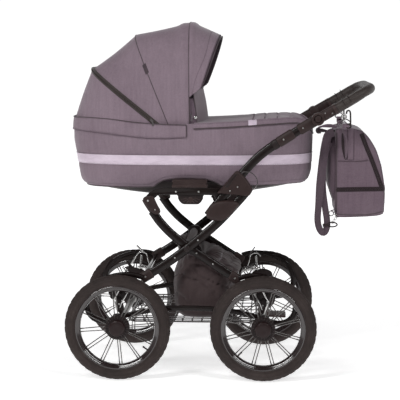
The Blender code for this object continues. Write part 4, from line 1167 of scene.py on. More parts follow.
def mat_pin(co):
    if co.z < 0.6635:
        return 1.0
    return max(step(0.016, 0.006, (Vector((co.x - a, co.y - b))).length) for a, b in tufts) if co.z > 0.70 else 0.0


mat_me = puff(rings(mat_rows), 0.0065, 0.010, mat_pin, 3.0)
for v in mat_me.vertices:
    if v.co.z > 0.69:
        d = min((Vector((v.co.x - a, v.co.y - b))).length for a, b in tufts)
        v.co.z -= 0.0075 * math.exp(-(d / 0.018) ** 2)
mattress = add("mattress_pad", mat_me, WHITE, "cot", ("mattress",), 60)

# apron: crowned quilted cover from the hood to the foot end
foot = [j for j in range(NC) if PLAN0[j].x > 0.0]
crown = curve([(-0.02, 0.8555), (0.0007, 0.8575), (0.053, 0.8625), (0.0877, 0.8645), (0.1572, 0.8665), (0.2266, 0.8705), (0.2612, 0.8735), (0.3165, 0.8745), (0.3442, 0.8715),
               (0.3754, 0.8650), (0.41, 0.854)])
start_x = 0.0060
ring = plan(0.845, 480)
ring = [q for q in ring if q.x > start_x]
ring.sort(key=lambda q: math.atan2(q.y, q.x - start_x))
ring = even(ring, 150)
pleats = (0.2080, 0.2480, 0.2900, 0.3320)


def apron_row(rho, drop, out):
    row = []
    for e in ring:
        c = Vector((max(start_x, min(0.235, e.x * 0.62)), 0.0, 0.0))
        if e.x < start_x + 0.02:
            c.x = e.x
        x, y = c.x + (e.x - c.x) * rho, c.y + (e.y - c.y) * rho
        end = step(0.34, 0.405, e.x)
        edge_z = rim_z(e.x) + 0.0020
        top_z = crown(x)
        z = edge_z + (top_z - edge_z) * (1 - rho ** (2.6 if rho < 1 else 1))
        z -= end * 0.010 * step(0.75, 1.0, rho)
        z -= drop
        d = Vector((e.x - c.x, e.y, 0)).normalized()
        row.append(Vector((x, y, z)) + d * out)
    return row


arow = [apron_row(0.02 + 0.98 * i / 34, 0.0, 0.0018 * step(0.8, 1, i / 34)) for i in range(35)]
arow += [apron_row(1.0, d, o) for d, o in ((0.0012, 0.0034), (0.0035, 0.0045), (0.0070, 0.0050), (0.0120, 0.0050), (0.0175, 0.0049))]


def apron_relief(i, j, p):
    x, y, z = p
    d = 0.0010 * wrinkle(p, 11.0, 4.0) + 0.0006 * wrinkle(p, 30.0, 9.0)
    for q in pleats:
        d -= 0.0026 * math.exp(-((x - q) / 0.0048) ** 2) * (1 if i < 38 else 0.3)
    d += 0.0014 * step(0.18, 0.21, x) * (1 - step(0.36, 0.39, x)) * (1 if i < 36 else 0.4)
    return d


def apron_core(v):
    return (max(0.02, min(0.24, v[0])), 0.0, 0.70)


apron_rows = pushed(arow, apron_core, apron_relief)
apron = add("apron_cover", skin(apron_rows, apron_core, 0.0060), MAUVE, "cot", ("apron",), 60)
bead = [apron_rows[-1][j] for j in range(len(ring))]
add("apron_bead", sweep([p + Vector((0, 0, -0.0010)) for p in bead], circle(0.0024, 8)), PIPING, "cot")
an = normals(apron_rows, apron_core)
add("apron_stitch", tack([apron_rows[36][j] for j in range(len(ring))], [Vector(an[36][j]) for j in range(len(ring))], 0.0060, 0.0038, 0.00045), MAUVE_DEEP, "cot")
for k, q in enumerate(pleats):
    path = []
    outs = []
    for i in range(len(apron_rows) - 6, -1, -1):
        r = apron_rows[i]
        js = [j for j in range(len(ring) // 2) if (r[j].x - q) * (r[j + 1].x - q) <= 0]
        if js:
            path.append(r[js[0]])
            outs.append(Vector(an[i][js[0]]))
    if len(path) > 3:
        half = path
        far = [Vector((p.x, -p.y, p.z)) for p in path[::-1]]
        fo = [Vector((o.x, -o.y, o.z)) for o in outs[::-1]]
        add("apron_pleat_%d" % k, tack(half + far, outs + fo, 0.0060, 0.0040, 0.0005), MAUVE_DEEP, "cot")

# bare woven tab on the apron's near edge
tab = []
for i in range(34, 40):
    r = apron_rows[i]
    j0 = min(range(len(ring)), key=lambda j: (r[j].x - 0.2020) ** 2 + (r[j].y + 0.19) ** 2)
    tab.append([r[j0 + d] + Vector(an[i][j0]) * 0.0008 for d in (-2, -1, 0, 1, 2)])
tab_me = skin(tab, apron_core, 0.0009)
add("apron_tab", tab_me, STRIPE, "cot")

# wind flap standing inside the hood
frow = []
for i in range(19):
    v = i / 18
    row = []
    for j in range(49):
        s = -1 + 2 * j / 48
        y = s * (0.1880 - 0.006 * v)
        bulge = 1 - abs(s) ** 2.4
        x = 0.0180 + 0.0275 * bulge - (0.0110 + 0.006 * bulge) * v ** 1.4
        z = 0.8560 + (0.1080 * (1 - 0.10 * abs(s) ** 6) + 0.004 * bulge) * v
        row.append(Vector((x, y, z)))
    frow.append(row)


def flap_core(v):
    return (v[0] - 0.2, v[1] * 0.2, v[2])


frow = pushed(frow, flap_core, lambda i, j, p: 0.0014 * wrinkle(p, 12.0, 6.0) + 0.0006 * wrinkle(p, 34.0, 2.0))
flap = add("wind_flap", skin(frow, flap_core, 0.0022), MAUVE_GREY, "cot", (), 60)
fedge = [frow[i][0] for i in range(19)] + frow[18][1:-1] + [frow[i][48] for i in range(18, -1, -1)]
add("wind_flap_piping", sweep(fedge, circle(0.0017, 8)), PIPING, "cot")
for side, sy in SIDES:
    gus = []
    for i in range(0, 17):
        v = i / 16
        z = 0.8500 + 0.0860 * v
        a_ = Vector((-0.0050 - 0.0015 * v, 0.1925 - 0.0040 * v, z))
        b_ = Vector((0.0165 - 0.0120 * v ** 1.4, 0.1885 - 0.0060 * v, z + 0.004))
        gus.append([a_.lerp(b_, k / 5) + Vector((0, -0.0022 * math.sin(math.pi * k / 5) + 0.0008 * wrinkle(a_ * 1.0, 30.0, k), 0)) for k in range(6)])
    add("hood_gusset_" + side, moved(skin(gus, lambda v: (v[0], 0.0, v[2]), 0.0010), mirror=sy < 0), MAUVE_DEEP, "cot", (), 60)
    studs = [lathe([(0.0, 0.0030), (0.0035, 0.0028), (0.0056, 0.0016), (0.0062, 0.0)], 20)]
    m = joined([moved(studs[0], (x, 0.0, z)) for x, z in ((0.0135, 0.8750),)])
    m = moved(m, (0, 0.1900, 0), False)
    add("flap_stud_" + side, moved(m, mirror=sy < 0), CHROME, "cot")
    tri = [Vector((-0.0005, 0.1890, 0.8640)), Vector((0.0010, 0.1905, 0.8800)), Vector((-0.0060, 0.1905, 0.8860)), Vector((-0.0120, 0.1900, 0.8680))]
    add("flap_buckle_" + side, moved(sweep(smooth(tri, 32, True), circle(0.0013, 8), closed=True), mirror=sy < 0), CHROME, "cot")
    st = sweep([(0.0120, 0.1880, 0.8780), (0.0060, 0.1895, 0.8790), (-0.0020, 0.1900, 0.8780), (-0.0060, 0.1895, 0.8720)],
               [(-0.0010, -0.006), (0.0010, -0.006), (0.0010, 0.006), (-0.0010, 0.006)], side=(0, 0, 1))
    add("flap_strap_" + side, moved(st, mirror=sy < 0), MAUVE_DEEP, "cot", flat=True)

# ------------------------------------------------------------------ hood
NH = 121
ST = {
    "R": dict(base=(-0.0687, 0.8120), top=(-0.4145, 0.8560), half=0.1992, p=3.2),
    "A": dict(base=(-0.0680, 0.8140), top=(-0.3465, 1.0360), half=0.1986, p=4.2),
    "B": dict(base=(-0.0620, 0.8140), top=(-0.1985, 1.1500), half=0.1975, p=4.2),
    "C": dict(base=(-0.0060, 0.8140), top=(-0.0105, 1.1935), half=0.1962, p=4.2),
}


def arch(base, top, half, p, n=NH, lo=0.0):
    pts = []
    for i in range(601):
        t = math.pi * i / 600
        c, s = math.cos(t), math.sin(t)
        q = abs(s) ** (2 / p)
        pts.append(Vector((base[0] + (top[0] - base[0]) * q, -half * math.copysign(abs(c) ** (2 / p), c), base[1] + (top[1] - base[1]) * q)))
    if lo:
        pts = [v for v in pts if v.z >= lo]
    return even(pts, n)


ARCH = {k: arch(**v) for k, v in ST.items()}


def hood_core(v):
    return (HOOD[0] - 0.05, v[1] * 0.55, HOOD[1] + 0.06)


def panel(a, b, m, sag=0.003, seed=0.0, fold=0.0010, swell=None):
    out = []
    for i in range(m + 1):
        t = i / m
        out.append([a[j].lerp(b[j], t) for j in range(len(a))])

    def relief(i, j, p):
        t = i / m
        top = math.sin(math.pi * j / (len(a) - 1)) ** 0.6
        s = -sag * math.sin(math.pi * t) * top + (swell(t) if swell else 0.0)
        near = math.exp(-(t / 0.10) ** 2) + math.exp(-((1 - t) / 0.10) ** 2)
        w = fold * wrinkle((p[0], p[1], p[2]), 10.0, seed) + fold * 0.5 * near * wrinkle((p[0] * 2, p[1], p[2]), 34.0, seed + 3)
        return s + w * min(1.0, 8 * t * (1 - t) + 0.25)
    return pushed(out, hood_core, relief)


def off(rows, d0, d1=None):
    d1 = d0 if d1 is None else d1
    m = len(rows) - 1
    return pushed(rows, hood_core, lambda i, j, p: d0 + (d1 - d0) * i / m)


pr_rear = panel(ARCH["R"], ARCH["A"], 22, -0.0025, 11.0)
pr_mid = off(panel(ARCH["A"], ARCH["B"], 26, 0.0035, 12.0), -0.0020, -0.0020)
pr_front = off(panel(ARCH["B"], ARCH["C"], 30, 0.0020, 13.0, swell=lambda t: 0.0046 * math.exp(-((t - 0.87) / 0.075) ** 2)), 0.0, -0.0018)

hood_rear = add("hood_rear_panel", skin(pr_rear, hood_core, 0.0012), MAUVE, "cot", ("hood_rear",), 60)
hood_mid = add("hood_middle_panel", skin(pr_mid, hood_core, 0.0012), MAUVE, None, ("hood_mid",), 60)
hood_front = add("hood_front_panel", skin(pr_front, hood_core, 0.0012), MAUVE, None, ("hood_front",), 60)
lin_rear = add("hood_rear_lining", skin(off(pr_rear, -0.0046), hood_core, 0.0008), LINING, "cot", (), 60)
lin_mid = add("hood_middle_lining", skin(off(pr_mid, -0.0046), hood_core, 0.0008), LINING, None, (), 60)
lin_front = add("hood_front_lining", skin(off(pr_front, -0.0066, -0.0048), hood_core, 0.0008), LINING, None, (), 60)
for ob in (hood_mid, lin_mid):
    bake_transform(ob)
for ob in (hood_front, lin_front):
    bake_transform(ob)

# visor
C_LO = 0.9405
c_arch = arch(**dict(ST["C"]), lo=C_LO)
d_side = arch((0.0300, 0.9720), (0.0880, 1.1505), 0.1925, 3.0)
vis = []
MV = 22
for i in range(MV + 1):
    t = i / MV
    vis.append([c_arch[j].lerp(d_side[j], t) for j in range(NH)])


def vis_relief(i, j, p):
    t = i / MV
    hem = -0.0011 * math.exp(-((t - 0.72) / 0.03) ** 2)
    bulge = 0.0030 * math.sin(math.pi * t) * abs(math.cos(math.pi * j / (NH - 1))) ** 2
    step_out = -0.0008 * math.exp(-(t / 0.03) ** 2) + 0.0040 * math.exp(-((t - 0.13) / 0.085) ** 2)
    return 0.0006 + hem + bulge + step_out + 0.0010 * wrinkle(p, 11.0, 14.0)


def vis_core(v):
    return (0.0, v[1] * 0.5, 0.97)


vis = pushed(vis, vis_core, vis_relief)
visor = add("hood_visor_panel", skin(vis, vis_core, 0.0016), MAUVE, "hood_forward", ("hood_visor",), 60)
vlin_rows = pushed(vis, vis_core, lambda i, j, p: -0.0036)
vlin = add("hood_visor_lining", skin(vlin_rows, vis_core, 0.0010), LINING, "hood_forward", (), 60)
vedge = [vis[MV][j].lerp(vlin_rows[MV][j], 0.45) for j in range(NH)]
add("hood_visor_binding", sweep(vedge, circle(0.0022, 8)), MAUVE_DEEP, "hood_forward")
lip = [[vedge[j] + (vis[MV][j] - vis[MV - 2][j]).normalized() * d for j in range(NH)] for d in (-0.0030, 0.0, 0.0030, 0.0060, 0.0085)]
lip = pushed(lip, vis_core, lambda i, j, p: -0.0008 - 0.0010 * math.sin(math.pi * i / 4) + 0.0006 * wrinkle(p, 24.0, 5.0))
add("hood_visor_lip", skin(lip, vis_core, 0.0014), LINING, "hood_forward", (), 60)
add("hood_visor_lip_edge", sweep(lip[-1], circle(0.0012, 8)), PIPING, "hood_forward")
vn = normals(vis, vis_core)
hem_line, hem_out = [], []
for j in range(NH):
    u = abs(2 * j / (NH - 1) - 1)
    t = 0.74 - 0.44 * step(0.55, 1.0, u) ** 1.5
    i = t * MV
    i0 = int(i)
    hem_line.append(vis[i0][j].lerp(vis[i0 + 1][j], i - i0))
    hem_out.append(Vector(vn[i0][j]))
add("hood_visor_stitch", tack(hem_line, hem_out, 0.0055, 0.0036, 0.00045), MAUVE_DEEP, "hood_forward")
add("hood_visor_crease", sweep([p + o * 0.0001 for p, o in zip(hem_line, hem_out)], circle(0.0007, 6)), MAUVE_DEEP, "hood_forward")

# seams: piping on B and C, zip band along A
rn = normals(pr_rear, hood_core)
for name, rr, row, body, r, mat in (("hood_seam_b", pr_mid, -1, "hood_middle", 0.0017, PIPING), ("hood_seam_c", pr_front, -1, "hood_forward", 0.0018, PIPING)):
    nb = normals(rr, hood_core)
    add(name, sweep([rr[row][j] + Vector(nb[row][j]) * 0.0008 for j in range(NH)], circle(r, 8)), mat, body)
a_line = pr_rear[-1]
back = [(pr_rear[-4][j] - a_line[j]).normalized() for j in range(NH)]
a_out = [Vector(rn[-1][j]) for j in range(NH)]
KEEP = [j for j in range(NH) if a_line[j].z > 0.838]
ahead = [(pr_mid[3][j] - pr_mid[0][j]).normalized() for j in range(NH)]
band = [[a_line[j] + (back[j] * w if w > 0 else ahead[j] * -w) + a_out[j] * h for j in KEEP]
        for w, h in ((-0.0090, 0.0002), (-0.0080, 0.0014), (-0.0040, 0.0022), (0.0, 0.0028), (0.0040, 0.0022), (0.0080, 0.0014), (0.0092, 0.0003))]
add("hood_zip_band", skin(band, hood_core, 0.0010), ZIPTAPE, "cot", (), 60)
zl = [a_line[j] + a_out[j] * 0.0031 for j in KEEP]
add("hood_zip_teeth", zipper(zl, [a_out[j] for j in KEEP], [back[j] for j in KEEP], 0.0034), PLASTIC_DARK, "cot", flat=True)
low = KEEP[0] + 5
p0 = a_line[low] + a_out[low] * 0.0036
dirn = (a_line[low + 3] - a_line[low]).normalized()
frame_m = Matrix((dirn, back[low], a_out[low])).transposed().to_4x4()
slider = joined([box((-0.006, -0.0040, -0.001), (0.006, 0.0040, 0.0030), 0.0012, 2), box((-0.003, -0.0012, 0.003), (0.003, 0.0012, 0.0050), 0.0008, 1)])
slider.transform(Matrix.Translation(p0) @ frame_m)
add("hood_zip_slider", slider, NICKEL, "cot")
pull = [p0 + a_out[low] * 0.0052, p0 + a_out[low] * 0.0060 - dirn * 0.005 + Vector((0, 0, -0.004)), p0 + a_out[low] * 0.0042 - dirn * 0.006 + Vector((0, 0, -0.015))]
add("hood_zip_pull", sweep(smooth(pull, 12), [(-0.0008, -0.0026), (0.0008, -0.0026), (0.0008, 0.0026), (-0.0008, 0.0026)], side=back[low]), NICKEL, "cot", flat=True)

# bare tab on seam B
nb = normals(pr_mid, hood_core)
jb = min(range(NH // 2), key=lambda j: abs(pr_mid[-1][j].z - 1.0380))
tabr = []
for d in range(-2, 3):
    p = pr_mid[-1][jb + d]
    o = Vector(nb[-1][jb + d])
    bdir = (pr_mid[-3][jb] - pr_mid[-1][jb]).normalized()
    tabr.append([p + bdir * w + o * h for w, h in ((0.0075, 0.0012), (0.0035, 0.0026), (0.0, 0.0030), (-0.0035, 0.0026), (-0.0062, 0.0012))])
add("hood_tab", skin(tabr, hood_core, 0.0012), LINING, "hood_middle")

# bows under the cloth
for name, st, ang, body, node in (("bow_middle_look", "B", 0.0, "hood_middle", "bow_mid"), ("bow_front_look", "C", 0.0, "hood_forward", "bow_front")):
    s = ST[st]
    hb = Vector((HOOD[0], 0, HOOD[1]))
    dirv = Vector((s["top"][0], 0, s["top"][1])) - hb
    t = hb + dirv * (1 - 0.0135 / dirv.length)
    bw = arch((HOOD[0] + 0.004, HOOD[1] + 0.004), (t.x, t.z), s["half"] - 0.0125, 4.2, 90)
    add(name, sweep(bw, circle(0.0034, 10)), BLACK, body, (node,))
for side, sy in SIDES:
    add("hood_hinge_" + side, moved(plate([(-0.066, 0.826), (-0.051, 0.820), (-0.036, 0.826), (-0.030, 0.842), (-0.040, 0.858), (-0.062, 0.858), (-0.072, 0.842)],
                                          0.1870, 0.1905, 0.001, 2, 40), mirror=sy < 0), PLASTIC_DARK, "cot")

# skirt band over the joint between hood and cot
sk_bot = curve([(-0.42, 0.8290), (-0.3907, 0.8290), (-0.2728, 0.8200), (-0.1385, 0.8072), (-0.0700, 0.8078), (-0.0140, 0.8106)])
sk_top = curve([(-0.42, 0.8712), (-0.4109, 0.8714), (-0.3700, 0.8728), (-0.3385, 0.8728), (-0.2728, 0.8690), (-0.1831, 0.8589), (-0.0935, 0.8532), (-0.0140, 0.8511)])
skr = plan(0.845, 520)
skr = [q for q in skr if q.x < -0.0148]
skr.sort(key=lambda q: math.atan2(q.y, -(q.x + 0.0148)))
skr = even(skr, 170)
skirt = []
for i in range(15):
    v = i / 14
    row = []
    for q in skr:
        z = sk_bot(q.x) + (sk_top(q.x) - sk_bot(q.x)) * v
        row.append(Vector((q.x, q.y, z)))
    skirt.append(row)


def skirt_relief(i, j, p):
    v = i / 14
    rear = step(-0.30, -0.39, p[0])
    lean = -0.10 * max(0.0, p[2] - 0.848) * rear - 0.0004 * v * (1 - rear)
    flare = 0.0062 + 0.0010 * (1 - v) ** 2
    tuck = 0.0012 * math.exp(-((v - 0.90) / 0.05) ** 2) * -1
    return flare + lean + tuck + 0.0011 * wrinkle(p, 11.0, 20.0) * (1 - 0.5 * v) + 0.0008 * (1 - v) * wrinkle(p, 30.0, 7.0)


skirt = pushed(skirt, cot_core, skirt_relief)
sk = add("hood_skirt", skin(skirt, cot_core, 0.0014), MAUVE, "cot", (), 60)
kn = normals(skirt, cot_core)
sk_edge = skirt[0]
add("hood_skirt_hem", sweep([p - Vector(kn[0][j]) * 0.0006 for j, p in enumerate(sk_edge)], circle(0.0012, 6)), MAUVE_DEEP, "cot")
add("hood_skirt_top", sweep([p + Vector(kn[14][j]) * 0.0002 for j, p in enumerate(skirt[14])], circle(0.0014, 8)), PIPING, "cot")
for tag, j in (("a", 0), ("b", len(skirt[0]) - 1)):
    add("hood_skirt_end_" + tag, sweep([r[j] for r in skirt], circle(0.0014, 8)), PIPING, "cot")
add("hood_skirt_stitch", tack(skirt[1], [Vector(n) for n in kn[1]], 0.0060, 0.0038, 0.00042), MAUVE_DEEP, "cot")
add("hood_skirt_seam", tack(skirt[13], [Vector(n) for n in kn[13]], 0.0060, 0.0038, 0.00042), MAUVE_DEEP, "cot")

# ------------------------------------------------------------------ basket
left_x = curve([(0.1915, -0.0480), (0.2000, -0.0580), (0.2150, -0.0655), (0.2562, -0.0706), (0.3147, -0.0732), (0.3526, -0.0640), (0.3973, -0.0460), (0.4112, -0.0330), (0.4250, -0.0300)])
right_x = curve([(0.1915, 0.1200), (0.2000, 0.1380), (0.2150, 0.1420), (0.2600, 0.1440), (0.3200, 0.1450), (0.3330, 0.1500), (0.3588, 0.1640), (0.3804, 0.1554), (0.4018, 0.1272),
                 (0.4161, 0.0960), (0.4250, 0.0930)])
half_y = curve([(0.1915, 0.1600), (0.2000, 0.1740), (0.2150, 0.1800), (0.3200, 0.1850), (0.3900, 0.1850), (0.4250, 0.1800)])
NB = 168


def basket_ring(z, n=NB, shrink=0.0):
    x0, x1, b = left_x(z) + shrink, right_x(z) - shrink, half_y(z) - shrink
    c, a = (x0 + x1) / 2, (x1 - x0) / 2
    pts = []
    for i in range(361):
        t = 2 * math.pi * i / 360
        ct, st = math.cos(t), math.sin(t)
        pts.append(Vector((c + a * math.copysign(abs(ct) ** (2 / 3.4), ct), b * math.copysign(abs(st) ** (2 / 3.4), st), z)))
    return even(pts, n, True)


top_line = curve([(-0.08, -0.0200), (-0.045, -0.0160), (-0.010, -0.0060), (0.030, -0.0150), (0.080, -0.0300), (0.120, -0.0400), (0.165, -0.0520)])
brows = []
for s in (0.02, 0.2, 0.4, 0.6, 0.8, 0.93):
    r0 = basket_ring(0.1915)
    brows.append([Vector((0.036 + (p.x - 0.036) * s, p.y * s, 0.1915)) for p in r0])
levels = [0.1915 + (0.4170 - 0.1915) * (k / 34) ** 0.92 for k in range(35)]
for z in levels:
    r0 = basket_ring(z)
    row = []
    for p in r0:
        lift = 0.0
        if z > 0.33:
            k = (z - 0.33) / (0.417 - 0.33)
            lift = top_line(p.x) * k
        row.append(p + Vector((0, 0, lift)))
    brows.append(row)


top_ring = brows[-1]
tc = sum((Vector(p) for p in top_ring), Vector()) / len(top_ring)
for k, (s_, dz) in enumerate(((0.965, 0.0026), (0.92, 0.0036), (0.84, 0.0045), (0.74, 0.0050), (0.62, 0.0050), (0.48, 0.0046), (0.34, 0.0040), (0.20, 0.0034), (0.08, 0.0030),
                              (0.02, 0.0030))):
    row = []
    for j, p in enumerate(top_ring):
        a_ = 2 * math.pi * j / len(top_ring)
        fold = 0.0050 * math.sin(a_ * 17 + 2.0 * wrinkle((p.x, p.y, 0.0), 9.0, 4.0)) * math.sin(math.pi * min(1.0, (1 - s_) * 1.1)) ** 0.8
        row.append(Vector((tc.x + (p.x - tc.x) * s_, p.y * s_, tc.z + (p.z - tc.z) * s_ + dz + fold - 0.0100 * (1 - s_))))
    brows.append(row)
N_SIDE = len(brows) - 10


def basket_core(v):
    return (0.036, v[1] * 0.5, max(0.25, min(0.33, v[2])))


def basket_relief(i, j, p):
    up = max(0.0, (i - 10) / 30)
    gather = math.sin(j * 2 * math.pi / NB * 38 + 2.2 * wrinkle(p, 12.0, 2.0)) * 0.0016 * max(0.0, min(1.0, up) - 0.55) / 0.45
    sagw = 0.0034 * wrinkle(p, 8.5, 3.0) * min(1.0, i / 12) + 0.0016 * wrinkle(p, 24.0, 9.0) * min(1.0, i / 12)
    if i < 8:
        return 0.0
    if i > N_SIDE:
        return -0.0010 + 0.4 * sagw
    x, y, z = p
    grow = min(1.0, (i - 7) / 8)
    n1 = abs(wrinkle((x * 0.9 + z * 1.7, y * 0.8, (z - x) * 0.45), 13.0, 2.0))
    n2 = abs(wrinkle((x * 1.3 - z * 1.6, y * 1.0, (z + x) * 0.5), 17.0, 6.0))
    crease = -0.0075 * max(0.0, 1 - n1 / 0.16) ** 1.6 - 0.0045 * max(0.0, 1 - n2 / 0.13) ** 1.6
    side = 0.0030 * step(0.10, 0.16, abs(y)) * max(0.0, wrinkle((x + z, y, z - x), 10.0, 8.0) + 0.35)
    return min(0.0012 + side, gather + sagw - 0.0006 + side + crease * grow)


b_rows = pushed(brows, basket_core, basket_relief, True)
bk_me = skin(b_rows, basket_core, 0.0014, True)
basket = add("shopping_basket", bk_me, BASKET, "chassis", ("basket", "basket_top"), 60)
rim_path = [b_rows[N_SIDE - 1][j] for j in range(NB)]
brim = add("basket_rim", sweep(rim_path, circle(0.0030, 8), closed=True), PIPING, "chassis")
bseams = []
for k in (0, 42, 84, 126):
    bseams.append(sweep([b_rows[i][(k + 21) % NB] for i in range(7, N_SIDE, 1)], circle(0.0011, 6)))
bseam = add("basket_seams", joined(bseams), PIPING, "chassis")
tuft = []
for k in range(19):
    v = k / 18
    row = []
    for j in range(72):
        a_ = 2 * math.pi * j / 72
        r_ = (0.62 + 0.42 * math.sin(math.pi * min(1.0, v * 1.12)) ** 0.8) * (1 - 0.55 * max(0.0, v - 0.86) / 0.14)
        f_ = 1 + 0.10 * math.sin(a_ * 9 + 5 * v) * (0.4 + 0.6 * v) + 0.08 * wrinkle((math.cos(a_), math.sin(a_), v * 2), 2.6, 4.0)
        row.append(Vector((-0.0310 + 0.0270 * r_ * f_ * math.cos(a_) + 0.004 * math.sin(5 * v), 0.1150 * r_ * f_ * math.sin(a_),
                           0.3830 + 0.0690 * v + 0.0030 * math.sin(a_ * 5 + 2) * v)))
    tuft.append(row)
btuft = add("basket_gather", rings(tuft), BASKET, "chassis", (), 70)
# the cloth tunnel in which the pivot tube carries the basket's top
tunnel = []
for k in range(61):
    y = -0.1720 + 0.3440 * k / 60
    row = []
    for j in range(40):
        a_ = 2 * math.pi * j / 40
        r_ = 0.0130 + 0.0009 * math.sin(1.7 * k + 1.5 * math.sin(2 * a_)) + 0.0008 * wrinkle((math.cos(a_), y * 12, math.sin(a_)), 2.2, 9.0)
        row.append(Vector((CROSS[0] + r_ * math.cos(a_), y, CROSS[1] + r_ * math.sin(a_))))
    tunnel.append(row)
add("basket_tunnel", rings(tunnel), BASKET, "front_frame", (), 70)
for ob in (basket, brim, bseam, btuft):
    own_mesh(ob)

# ------------------------------------------------------------------ push handle
ux, uz = 0.1524, 0.0888
ul = math.hypot(ux, uz)
ux, uz = ux / ul, uz / ul


def along(d, y, n=0.0):
    return Vector((TILT[0] + ux * d - uz * n, y, TILT[1] + uz * d + ux * n))


arm_pts = [along(d, y) for d, y in ((0.012, 0.2392), (0.030, 0.2392), (0.050, 0.2392), (0.066, 0.2392))]
arm_me = joined([sweep(smooth(arm_pts, 20), circle(0.0172, 24, 0.0098), side=(0, 1, 0), round_end=0.003),
                 sweep([along(0.0600, 0.2392), along(0.0690, 0.2392)], circle(0.0178, 28, 0.0168), side=(0, 1, 0)),
                 lathe([(0.0, 0.2348), (0.0190, 0.2348), (0.0208, 0.2356), (0.0212, 0.2372), (0.0212, 0.2502), (0.0208, 0.2514), (0.0196, 0.2520), (0.0150, 0.2520), (0.0146, 0.2500),
                        (0.0132, 0.2496), (0.0128, 0.2441), (0.0, 0.2441)], 48,
                       (TILT[0], 0, TILT[1]))])
both("handle_arm_look", arm_me, PLASTIC, "handle", "handle_arm_{}")
both("handle_arm_line", joined([sweep([along(0.0705, 0.2392), along(0.0725, 0.2392)], circle(0.0171, 28, 0.0171), side=(0, 1, 0)),
                                sweep([along(0.0385, 0.2392), along(0.0395, 0.2392)], circle(0.0175, 24, 0.0101), side=(0, 1, 0))]), PLASTIC_DARK, "handle")
both("handle_arm_rivet", joined([dot(tuple(along(0.0500, 0.2489, -0.006)), 0.0026, 1), dot(tuple(along(0.0300, 0.2489, 0.006)), 0.0022, 1)]), STEEL, "handle")
both("tilt_button_look", lathe([(0.0, 0.2494), (0.0060, 0.2490), (0.0100, 0.2480), (0.0118, 0.2466), (0.0120, 0.2444), (0.0, 0.2444)], 36, (TILT[0], 0, TILT[1])),
     PLASTIC, "button_{}", "tilt_button_{}")
both("knuckle_disc", lathe([(0.0, 0.2248), (0.0190, 0.2248), (0.0200, 0.2256), (0.0202, 0.2275), (0.0202, 0.2325), (0.0196, 0.2338), (0.0, 0.2338)], 48,
                           (TILT[0], 0, TILT[1])), PLASTIC, "front_frame")
half_path = [along(0.0643, 0.2392), Vector((0.4900, 0.2392, 0.9155)), Vector((0.5100, 0.2392, 0.9270)), Vector((0.5430, 0.2370, 0.9470)), Vector((0.5700, 0.2250, 0.9630)),
             Vector((0.5870, 0.1950, 0.9705)), Vector((0.5935, 0.1500, 0.9730)), Vector((0.5935, 0.0500, 0.9730)), Vector((0.5935, 0.0, 0.9730))]
grip_path = smooth([Vector((p.x, -p.y, p.z)) for p in half_path] + half_path[-2::-1], 150)
gsc = []
for i, p in enumerate(grip_path):
    u = min(i, len(grip_path) - 1 - i)
    gsc.append(1.0 - 0.05 * math.exp(-u / 1.5) + 0.006 * wrinkle(p, 20.0, 4.0) - (0.05 if abs(i - 74.5) < 1 else 0) - (0.03 if u in (22, 23) else 0))
grip = add("handle_grip_leather", sweep(grip_path, circle(0.0165, 28), scales=gsc), GRIP, "handle", ("handle_grip",), 60)
seam_pts, seam_out = [], []
for i in range(2, len(grip_path) - 2):
    t = (grip_path[i + 1] - grip_path[i - 1]).normalized()
    dn = Vector((0, 0, -1))
    dn = (dn - t * dn.dot(t)).normalized()
    inn = t.cross(dn)
    if inn.x > 0 and abs(grip_path[i].y) < 0.19:
        inn = -inn
    o = dn
    seam_pts.append(grip_path[i] + o * 0.0166)
    seam_out.append(o)
add("handle_grip_seam", tack(seam_pts, seam_out, 0.0050, 0.0034, 0.0005), PLASTIC_DARK, "handle")

# ------------------------------------------------------------------ changing bag
bag = [(0.4800, 0.8230), (0.4900, 0.8400), (0.5250, 0.8425), (0.5600, 0.8370), (0.5850, 0.8225), (0.6170, 0.7780), (0.6355, 0.7310), (0.6435, 0.7005), (0.6520, 0.6300),
       (0.6510, 0.5620), (0.6420, 0.5420), (0.5900, 0.5345), (0.5000, 0.5320), (0.4840, 0.5410), (0.4785, 0.6500)]
bag_base = [(p.x, p.y) for p in smooth([(x, z, 0) for x, z in bag], 110, True)]
bag_c = (0.565, 0.69)


def bag_ring(k, y):
    r = []
    for x, z in bag_base:
        dx, dz = x - bag_c[0], z - bag_c[1]
        d = math.hypot(dx, dz)
        r.append(Vector((bag_c[0] + dx * (d - k) / d, y, bag_c[1] + dz * (d - k) / d)))
    return r


prof = [(0.100, 0.1440), (0.060, 0.1440), (0.030, 0.1436), (0.014, 0.1425), (0.0065, 0.1385), (0.0040, 0.1320), (0.0035, 0.11), (0.0035, 0.05), (0.0035, 0.0)]
bag_rings = [bag_ring(k, -y) for k, y in prof] + [bag_ring(k, y) for k, y in prof[-2::-1]]
SEAM_Z, POCKET_Z, SIDE_X = 0.6330, 0.7270, 0.4865


def bag_pin(co):
    w = 0.0
    if abs(co.y) > 0.1395:
        w = max(w, step(0.004, 0.001, abs(co.x - SIDE_X)), step(0.004, 0.001, abs(co.z - SEAM_Z)) * 0.9)
    d = 1.0
    for x, z in bag_base[::2]:
        d = min(d, math.hypot(co.x - x, co.z - z))
    if 0.1370 < abs(co.y) and d < 0.009:
        w = max(w, 0.85)
    if co.z < 0.545 and abs(co.y) < 0.13:
        w = max(w, 0.5)
    return w


